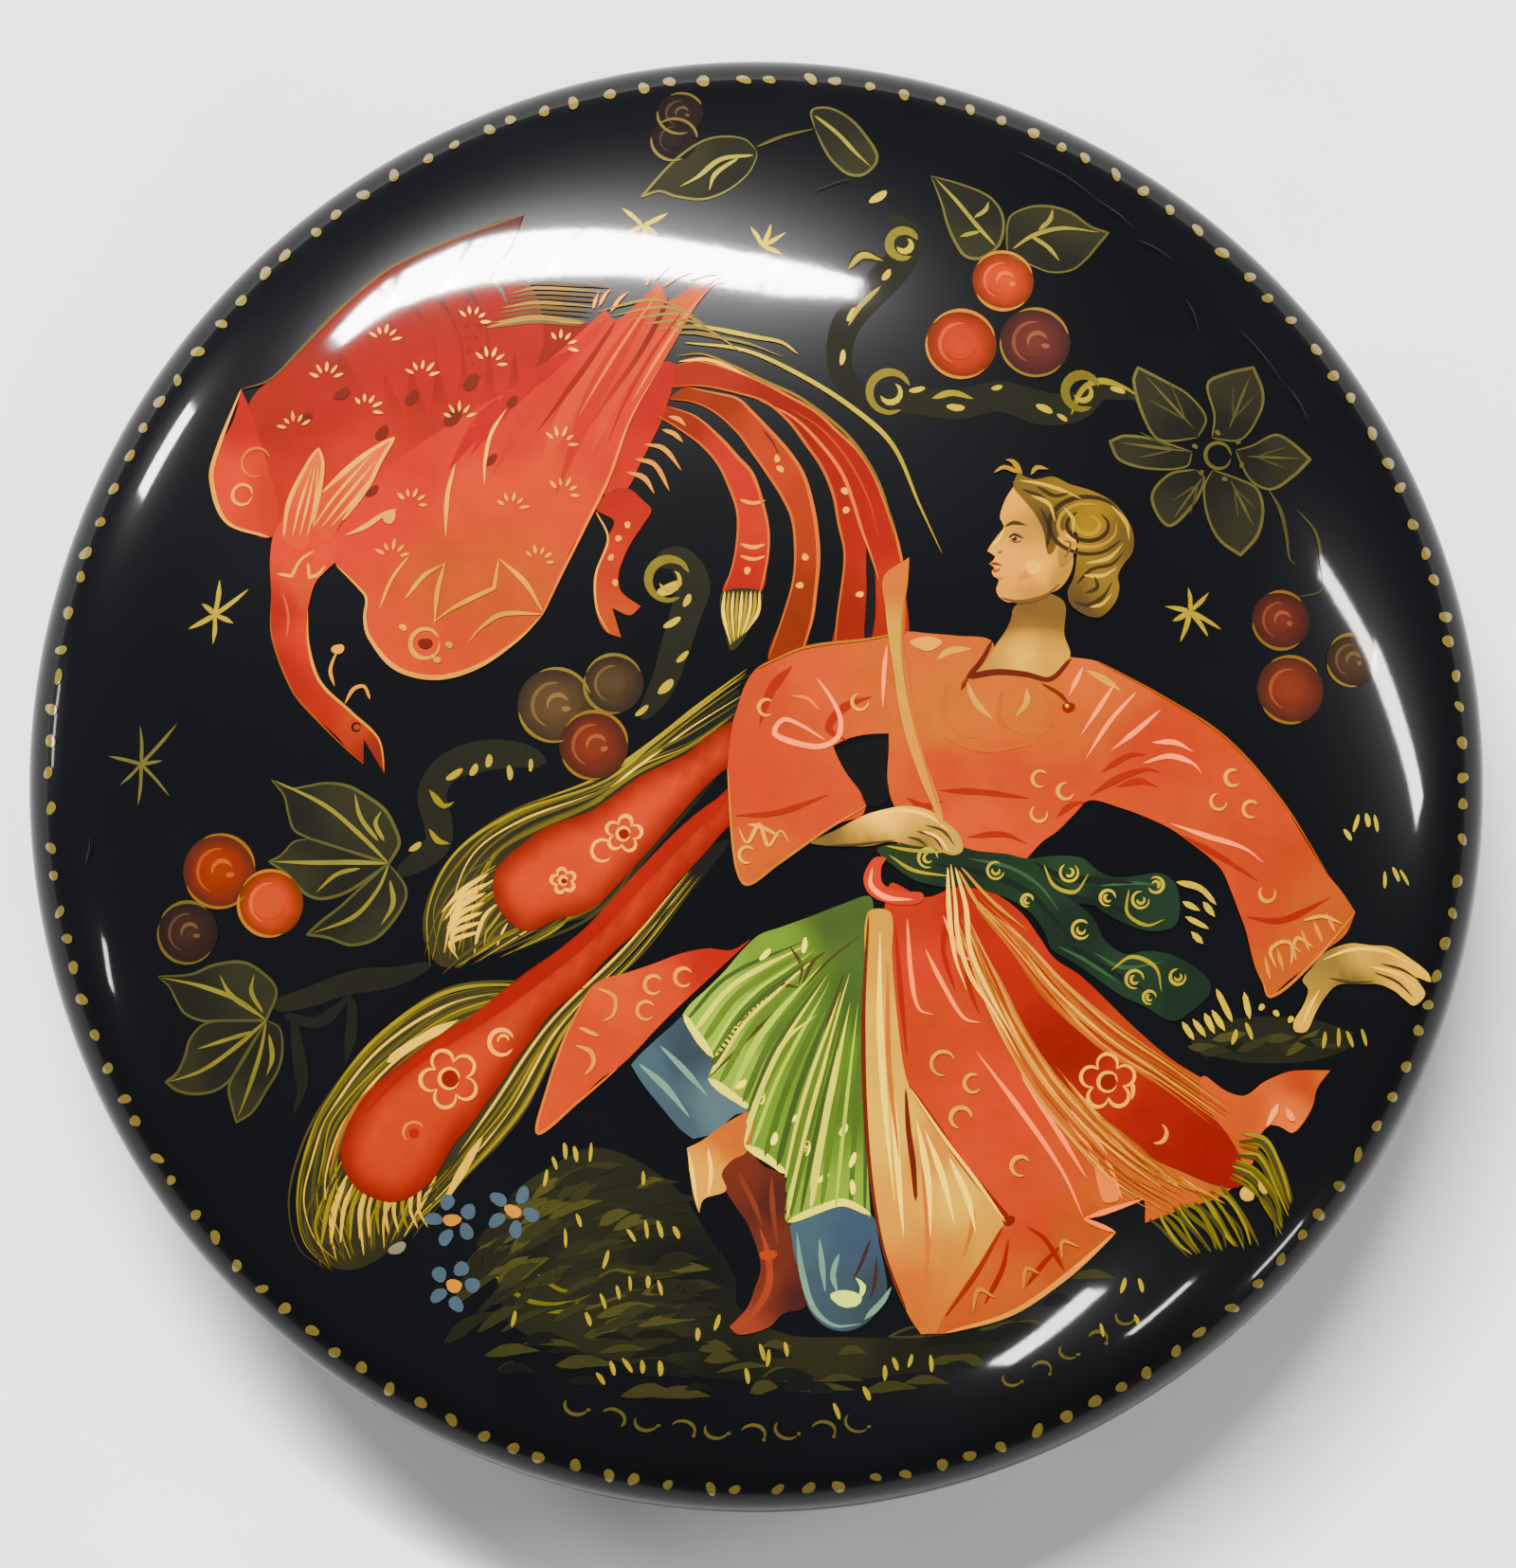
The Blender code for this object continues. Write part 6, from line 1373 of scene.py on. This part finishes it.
def paint_leaves():
    here = group("leaves", 1)
    edges = group("leaf_edges", 2, GOLD)
    veins = group("leaf_veins", 3, GOLD)
    for leaf in LEAVES:
        fill(here, leaf, LEAF, [(leaf[0][0], leaf[0][1], (48, 46, 28)), (leaf[4][0], leaf[4][1],
            (66, 62, 36)), (leaf[-2][0], leaf[-2][1], (40, 38, 26))])
        outline(edges, leaf, 0.1, (126, 120, 70))
    strokes(veins, LEAF_VEINS, 0.15, (176, 164, 96), (0.5, 0.15))
    for leaf in PETALS:
        fill(here, leaf, (56, 52, 33), [(leaf[0][0], leaf[0][1], (38, 35, 25)), (leaf[3][0], leaf[3][1],
            (64, 59, 37))])
        outline(edges, leaf, 0.1, (138, 127, 76))
        tip = leaf[len(leaf) // 2]
        stroke(veins, [mixed(FLOWER, tip, 0.3), mixed(FLOWER, tip, 0.9)], 0.1, (128, 116, 68))
        across = (tip[1] - FLOWER[1], FLOWER[0] - tip[0])
        for lean in (-0.125, 0.125):
            x, y = mixed(FLOWER, tip, 0.75)
            stroke(veins, [mixed(FLOWER, tip, 0.4), (x + lean * across[0], y + lean * across[1])], 0.08,
                (104, 96, 56))
    arc(veins, *FLOWER, 0.45, 0, 350, 0.15, (136, 122, 70))
    dots(veins, [(15.6, 11.5), (16.3, 11.2), (16.4, 10.4), (15.8, 9.9), (15.0, 10.1), (14.8, 11.0)], 0.2,
        (136, 122, 70))
    strokes(veins, [[(17.3, 9.6), (17.7, 8.9), (17.9, 8.0), (18.0, 7.2), (18.25, 7.0)], [(18.3, 8.9),
        (18.9, 8.2), (19.1, 7.2), (19.1, 6.2), (18.2, 5.9)], [(0.0, 21.4), (0.9, 21.8), (2.0, 22.1)]], 0.12,
        (112, 102, 58), (0.5, 0.3))


BRANCHES = [[(4.5, 18.9), (5.2, 18.3), (5.1, 17.7), (4.7, 17.1), (4.0, 16.3), (3.4, 15.6), (3.0, 15.0),
    (2.8, 14.2), (2.9, 13.3), (3.6, 12.6), (4.5, 12.3)], [(4.2, 12.4), (5.4, 12.4), (6.7, 12.3),
    (8.2, 12.6), (9.7, 12.2), (10.8, 12.3), (11.6, 12.9), (12.9, 12.7)], [(-3.4, 6.9), (-2.6, 7.0),
    (-2.1, 6.2), (-2.4, 5.0), (-2.7, 4.0), (-3.1, 2.8), (-3.8, 1.6)], [(-7.0, 0.2), (-8.0, 0.45),
    (-9.2, 0.4), (-10.3, 0.0), (-10.8, -0.8), (-10.6, -1.8), (-10.6, -2.5), (-11.3, -3.1), (-12.0, -3.5)],
    [(-16.2, -7.9), (-15.0, -7.6), (-13.5, -7.1), (-12.0, -6.9), (-10.8, -6.5)]]


def paint_branches():
    here = group("branches", 0)
    for line, width in zip(BRANCHES, (1.05, 1.1, 1.2, 1.15, 0.75)):
        stroke(here, line, width, DARK_OLIVE, (0.6, 0.5), (44, 42, 28))
    strokes(here, [[(-15.5, -8.2), (-15.3, -9.5), (-15.2, -10.6), (-15.5, -11.5)], [(-13.5, -7.6),
        (-13.5, -8.6), (-13.7, -9.8)], [(-15.8, -8.2), (-14.6, -8.4), (-13.4, -7.4)]], 0.4, (40, 39, 28),
        (0.6, 0.2))
    strokes(here, [[(3.1, 17.0), (3.6, 17.5), (4.3, 17.3)], [(12.6, 12.8), (13.2, 12.6)]], 0.4, (60, 56, 34))
    light = group("branch_gold", 1, GOLD)
    for x, y, radius in ((4.5, 12.7, 0.7), (-2.9, 6.3, 0.7), (11.0, 12.8, 0.6), (5.0, 17.9, 0.5)):
        arc(light, x, y, radius, 20, 300, 0.3, (150, 132, 68))
        arc(light, x, y, radius * 0.5, 200, 420, 0.2, (196, 176, 92))
    for x, y, turn, size in ((4.15, 19.6, 40, 0.7), (3.2, 15.4, 60, 0.5), (4.4, 16.8, 50, 0.5),
            (2.9, 13.9, 80, 0.5), (5.4, 12.8, 10, 0.5), (6.7, 12.2, 0, 0.6), (8.1, 12.9, 20, 0.4),
            (9.7, 12.2, 150, 0.6), (10.3, 11.9, 140, 0.4), (12.2, 12.9, 160, 0.5), (-2.9, 6.0, 20, 0.9),
            (-2.8, 4.85, 30, 0.6), (-2.45, 3.7, 40, 0.5), (-3.0, 2.7, 50, 0.7), (-3.8, 1.9, 40, 0.5),
            (-2.3, 5.6, 70, 0.5), (-8.2, -0.15, 90, 0.5), (-8.9, 0.25, 80, 0.5), (-9.4, -0.05, 60, 0.5),
            (-10.05, -0.2, 30, 0.6), (-11.35, -2.6, 40, 0.5), (-7.5, 0.1, 90, 0.4)):
        dab(light, x, y, size, size * 0.42, turn, (204, 184, 98))
    strokes(light, [[(-10.9, -0.7), (-10.4, -1.25), (-10.05, -1.1)], [(-10.9, -2.0), (-10.6, -2.4),
        (-10.2, -2.5)], [(10.6, 12.0), (11.0, 12.9), (11.6, 13.2), (12.4, 13.0), (12.9, 12.7)],
        [(3.1, 17.0), (3.6, 17.5), (4.3, 17.3)], [(4.2, 16.4), (3.5, 15.7), (3.1, 15.0)], [(5.9, 12.5),
        (6.6, 12.7), (7.3, 12.5)]], 0.2, (176, 158, 84), (0.4, 0.2))


def paint_sky_and_grass():
    stars = group("stars", 1, GOLD)
    for x, y, arms in ((-18.25, 5.3, [(-18.1, 6.5), (-17.1, 6.15), (-18.7, 5.7), (-19.15, 4.85),
            (-18.3, 4.3), (-17.6, 5.0)]), (-20.75, 0.3, [(-19.5, 1.65), (-20.8, 1.6), (-21.9, 0.6),
            (-21.5, -0.4), (-20.85, -1.1), (-19.75, -0.8), (-20.0, 0.4)]), (14.55, 5.35, [(14.5, 6.15),
            (15.2, 6.0), (15.6, 4.75), (15.15, 4.5), (14.2, 4.3), (13.95, 5.0), (13.7, 5.5)]), (-3.85,
            18.55, [(-4.55, 19.2), (-3.0, 19.0), (-3.75, 18.0), (-4.4, 18.3), (-3.3, 18.2)]), (0.2, 17.8,
            [(-0.2, 18.5), (0.5, 18.6), (1.0, 18.3), (0.9, 17.5)])):
        for arm in arms:
            stroke(stars, [(x, y), ((x + arm[0]) / 2 + 0.04, (y + arm[1]) / 2), arm], 0.12 if x < -19
                else 0.16, (150, 140, 84) if x < -19 else (200, 180, 98), (0.9, 0.2))
    turf = group("grass", 0)
    fill(turf, [(-8.9, -15.6), (-8.2, -14.2), (-6.8, -13.2), (-5.5, -12.6), (-4.2, -12.9), (-2.6, -14.0),
        (-1.6, -15.5), (-0.7, -16.9), (-0.6, -17.9), (1.0, -18.8), (3.0, -18.9), (6.0, -18.9), (9.4, -18.3),
        (9.4, -18.9), (6.0, -20.0), (0.0, -20.4), (-6.0, -19.4), (-8.2, -18.5), (-8.6, -17.4)],
        (44, 42, 25), [(-8.0, -15.6, (34, 33, 23)), (-6.0, -13.6, (56, 53, 28)), (-3.0, -14.4,
        (50, 48, 26)), (-2.4, -16.6, (24, 24, 20)), (-6.0, -17.4, (58, 55, 27)), (-3.4, -18.6,
        (60, 56, 26)), (2.0, -19.5, (64, 59, 27)), (6.0, -19.8, (42, 40, 24)), (-1.0, -20.4, (30, 30, 20)),
        (9.0, -19.0, (40, 38, 24))])
    disc(turf, 17.3, -9.0, 2.8, (50, 48, 27), 0.28)
    sweeps = group("grass_sweeps", 1)
    tones = [(92, 86, 38), (62, 58, 28), (108, 100, 44), (30, 30, 21), (76, 71, 33), (50, 48, 26)]
    for k in range(150):
        if k % 3:
            x, y = RNG.uniform(-9.6, -1.8), RNG.uniform(-18.6, -12.9)
            top = -12.6 - 0.22 * (x + 5.2) ** 2
            if y > top:
                y = top - RNG.uniform(0, 1.2)
            if x > -2.6 and y > -16.5:
                y -= 2.2
            rise = 0.5 - 0.13 * (x + 5.0)
        else:
            x, y, rise = RNG.uniform(-8.5, 11.5), RNG.uniform(-20.9, -18.9), RNG.uniform(-0.1, 0.2)
            y = max(y, -math.sqrt(22.0**2 - x * x) + 0.4)
            y = y + 0.10 * max(0.0, x - 3.0) ** 1.3
        length = RNG.uniform(0.9, 2.1)
        stroke(sweeps, [(x - length / 2, y - rise / 2), (x, y + 0.14), (x + length / 2, y + rise / 2)],
            RNG.uniform(0.2, 0.46), tones[k % 6], (0.25, 0.05))
    for k in range(12):
        x = 15.0 + 0.42 * k
        stroke(sweeps, [(x - 0.6, -9.2 + RNG.uniform(-0.4, 0.3)), (x + 0.6, -9.0 + RNG.uniform(-0.3, 0.4))],
            0.3, tones[k % 6], (0.3, 0.1))
    strokes(sweeps, [[(-9.0, -16.6), (-7.8, -17.6), (-6.8, -17.8), (-5.9, -17.6)], [(-7.3, -16.8),
        (-6.6, -17.3), (-6.0, -17.4)], [(-7.0, -18.1), (-6.3, -18.0), (-5.9, -17.7)]], 0.13, (150, 140, 66),
        (0.2, 0.4))
    blades = group("grass_gold", 2, GOLD)
    for x, y in ((-7.0, -13.6), (-6.7, -13.1), (-6.35, -12.7), (-6.0, -12.8), (-5.5, -12.75),
            (-3.75, -13.6), (-6.35, -15.6), (-5.9, -15.0), (-5.0, -16.3), (-4.15, -15.5), (-3.65, -15.3),
            (-3.2, -15.3), (-2.65, -15.4), (-5.1, -17.7), (-4.6, -17.4), (-4.2, -17.1), (-3.6, -17.05),
            (-3.2, -17.25), (-8.1, -18.3), (-5.6, -18.3), (-1.95, -18.8), (-1.3, -18.4), (-5.2, -20.3),
            (-4.8, -19.95), (-4.3, -19.85), (-3.8, -19.9), (-3.2, -19.95), (-0.3, -20.2), (0.4, -19.6),
            (0.2, -19.4), (1.0, -19.3), (4.3, -20.1), (4.65, -19.8), (5.15, -19.7), (5.85, -19.8),
            (3.7, -20.8), (2.7, -21.4), (12.3, -17.2), (12.9, -17.2), (11.6, -18.7), (12.8, -18.4),
            (16.0, -8.9), (16.5, -8.7), (19.1, -9.0), (19.6, -8.9), (20.0, -8.95), (20.5, -8.9),
            (19.9, -2.1), (20.2, -1.7), (20.6, -1.6), (20.9, -1.7), (21.2, -3.6), (21.6, -3.4),
            (21.9, -3.5)):
        dab(blades, x, y, RNG.uniform(0.42, 0.62), RNG.uniform(0.12, 0.18), RNG.uniform(75, 125),
            (214, 198, 118))
    petals = group("forget_me_nots", 3)
    for x, y in ((-10.15, -15.0), (-8.1, -14.7), (-10.1, -17.2)):
        turn = RNG.uniform(0, 72)
        for k in range(5):
            spot = around(x, y, 0.62, turn + 72 * k + RNG.uniform(-8, 8))
            dab(petals, *spot, 0.58, 0.46, turn + 72 * k, (112, 134, 146))
        dab(petals, x, y, 0.6, 0.42, -10, (232, 166, 62))
    dab(petals, -12.0, -15.95, 0.6, 0.4, 30, (170, 160, 146))
    # Where the title and the signature stood, a row of plain pen curls keeps the rhythm and says nothing.
    curls = group("pen_curls", 2, GOLD)
    for start, end, count, size in ((-6.0, 3.4, 9, 0.42), (8.6, 12.4, 5, 0.34)):
        for k in range(count):
            x = start + (end - start) * k / (count - 1)
            y = -math.sqrt(22.2**2 - x * x) + (0.0 if k % 2 else 0.18)
            arc(curls, x, y, size, 150, -40 if k % 2 else 330, 0.12, (150, 136, 78), 0.8,
                RNG.uniform(-15, 15))
            dab(curls, x + size * 0.9, y - size * 0.4, 0.14, 0.12, 0, (150, 136, 78))


def paint_scratch_glints():
    """Hairline scratches in the polish, drawn as pale grey strokes: painted glints for the light the
    scratches catch.
    """
    here = group("hairline_scratch_glints", 13)
    for x, y, length, lean in ((9.5, 21.0, 1.6, -30), (10.6, 20.4, 2.4, -34), (12.2, 19.2, 1.8, -38),
            (13.6, 17.9, 1.4, -30), (17.2, 14.2, 2.6, -52), (18.4, 12.6, 1.4, -60), (-8.1, -11.9, 2.6, 52),
            (0.5, 10.9, 1.2, -60), (2.6, 20.0, 1.5, 20), (-22.6, -2.6, 1.0, 80), (14.8, 15.6, 1.3, -70),
            (-1.4, 16.6, 0.9, 40)):
        # Pale grey on the black lacquer: each scratch is real wear, but its paleness is a painted glint.
        stroke(here, [around(x, y, -length / 2, lean), (x + 0.06, y + 0.05), around(x, y, length / 2,
            lean)], 0.035, (70, 70, 74), (0.3, 0.2))


def paint_miniature():
    for paint in (paint_rim_dots, paint_sky_and_grass, paint_branches, paint_leaves, paint_berries,
            paint_back_wing, paint_front_wing, paint_neck_and_head, paint_wing_gold, paint_bird_body,
            paint_arching_tail, paint_plume_hair, paint_plumes, paint_legs, paint_underskirt, paint_skirts,
            paint_coat, paint_head, paint_sash, paint_hands, paint_caught_plume, paint_stem, paint_scratch_glints):
        paint()


# ---- Studio ------------------------------------------------------------------------------------

CENTRE = Vector((0.0, 0.0, RIM * MM))
CAMERA_DISTANCE = 0.165
CAMERA_ELEVATION = math.radians(86)
CAMERA_LENS = 110.1             # on a sensor 36 mm wide, so that the disc fills the frame as photographed
CAMERA_SHIFT = (0.0011, -0.0028)
TOWARDS_CAMERA = Vector((0.0, -math.cos(CAMERA_ELEVATION), math.sin(CAMERA_ELEVATION)))
CAMERA_PLACE = CENTRE + TOWARDS_CAMERA * CAMERA_DISTANCE
LAMP_DISTANCE = 1.0
MAIN_LAMP_PARTS = 40
MAIN_LAMP_RADIANCE = 260.0
# The long ceiling lamp: directions from the disc to its upper and lower edge, from left to right.
MAIN_LAMP = [((-0.477, 0.573, 0.668), (-0.465, 0.545, 0.7)),
             ((-0.429, 0.629, 0.646), (-0.388, 0.588, 0.705)),
             ((-0.344, 0.657, 0.667), (-0.301, 0.594, 0.739)),
             ((-0.224, 0.642, 0.73), (-0.177, 0.59, 0.787)),
             ((-0.084, 0.607, 0.788), (-0.062, 0.557, 0.822)),
             ((0.004, 0.582, 0.815), (0.028, 0.534, 0.845)),
             ((0.092, 0.556, 0.823), (0.104, 0.532, 0.841))]
# The others: the directions of both ends, the lamp's width in metres, and its radiance.
STREAKS = {"right_streak_high": ((0.63, 0.30, 0.71), (0.74, 0.20, 0.65), 0.035, 60.0),
           "right_streak_low": ((0.73, 0.21, 0.65), (0.86, 0.02, 0.52), 0.055, 60.0),
           "left_streak": ((-0.81, 0.44, 0.38), (-0.74, 0.55, 0.39), 0.085, 90.0),
           "low_streak": ((0.30, -0.66, 0.69), (0.40, -0.54, 0.74), 0.045, 60.0),
           "low_streak_thin": ((0.50, -0.68, 0.54), (0.57, -0.60, 0.56), 0.02, 40.0),
           "low_glint": ((0.72, -0.66, 0.20), (0.79, -0.58, 0.20), 0.04, 40.0),
           "left_glint": ((-0.98, 0.20, 0.10), (-0.99, 0.08, 0.10), 0.04, 30.0),
           "left_glint_low": ((-0.862, -0.15, 0.484), (-0.87, -0.22, 0.45), 0.02, 40.0)}


def make_camera():
    data = bpy.data.cameras.new("camera")
    data.lens = CAMERA_LENS
    data.sensor_width = 36.0
    data.shift_x, data.shift_y = CAMERA_SHIFT
    data.clip_start = 0.01
    data.clip_end = 20.0
    camera = bpy.data.objects.new("camera", data)
    camera.location = CAMERA_PLACE
    camera.rotation_euler = TOWARDS_CAMERA.to_track_quat("Z", "Y").to_euler()
    bpy.context.scene.collection.objects.link(camera)
    bpy.context.scene.camera = camera


def between(ways, place):
    """The direction at a place in a list of directions; 1.5 lies halfway from the second to the third."""
    first = min(int(place), len(ways) - 2)
    return ways[first].lerp(ways[first + 1], place - first).normalized()


def strip_lamp(name, start, end, width, radiance):
    """A long soft lamp between two directions from the disc, facing it."""
    middle = (start + end).normalized()
    data = bpy.data.lights.new(name, "AREA")
    data.shape = "RECTANGLE"
    data.size = (end - start).length * LAMP_DISTANCE
    data.size_y = width
    data.energy = radiance * math.pi * data.size * data.size_y
    data.color = (1.0, 0.98, 0.96)
    lamp = bpy.data.objects.new(name, data)
    lamp.location = CENTRE + middle * LAMP_DISTANCE
    up = middle.cross(end - start).normalized()
    across = up.cross(middle)
    lamp.rotation_euler = Matrix([[across[i], up[i], middle[i]] for i in range(3)]).to_euler()
    bpy.context.scene.collection.objects.link(lamp)


def make_studio():
    floor = add_mesh("floor", [(-2, -2, 0), (2, -2, 0), (2, 2, 0), (-2, 2, 0)], [[0, 1, 2, 3]],
                     pale_floor("pale_floor"), smooth=False)
    places = [i * (len(MAIN_LAMP) - 1) / MAIN_LAMP_PARTS for i in range(MAIN_LAMP_PARTS + 1)]
    edges = [[Vector(way) for way in edge] for edge in zip(*MAIN_LAMP)]
    high, low = [[between(edge, place) for place in places] for edge in edges]
    for i in range(MAIN_LAMP_PARTS):
        width = ((high[i] - low[i]).length + (high[i + 1] - low[i + 1]).length) / 2
        strip_lamp(f"main_lamp_{i}", (high[i] + low[i]).normalized(),
            (high[i + 1] + low[i + 1]).normalized(), width * LAMP_DISTANCE, MAIN_LAMP_RADIANCE)
    for name, (start, end, width, radiance) in STREAKS.items():
        strip_lamp(name, Vector(start).normalized(), Vector(end).normalized(), width, radiance)
    world = bpy.data.worlds.new("studio")
    world.use_nodes = True
    sky = world.node_tree.nodes["Background"]
    sky.inputs["Color"].default_value = (0.92, 0.95, 1.0, 1)
    sky.inputs["Strength"].default_value = SKY_LEVEL
    bpy.context.scene.world = world


def finish_frame():
    """Better finishes for the frame's own pieces, whose shapes stay as they are."""
    brass = metal("brass_finish", (0.52, 0.36, 0.14), (0.86, 0.68, 0.36), 0.30, 900.0, (0.08, 1, 1))
    steel = metal("nickelled_steel_finish", (0.56, 0.53, 0.48), (0.82, 0.80, 0.76), 0.22, 1500.0,
        (0.05, 1, 1))
    finishes = {"papier_mache_core": pressed_card("pressed_card"), "back_lacquer": BACK_BLACK,
                "hinge_pin": steel, "pin_stem": steel}
    for name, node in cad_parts.items():
        finish = finishes.get(name, FACE_BLACK if name == "face_lacquer" else brass)
        for slot in node.material_slots:
            slot.material = finish


make_shell()
paint_miniature()
hang_groups()
finish_frame()
make_studio()
make_camera()
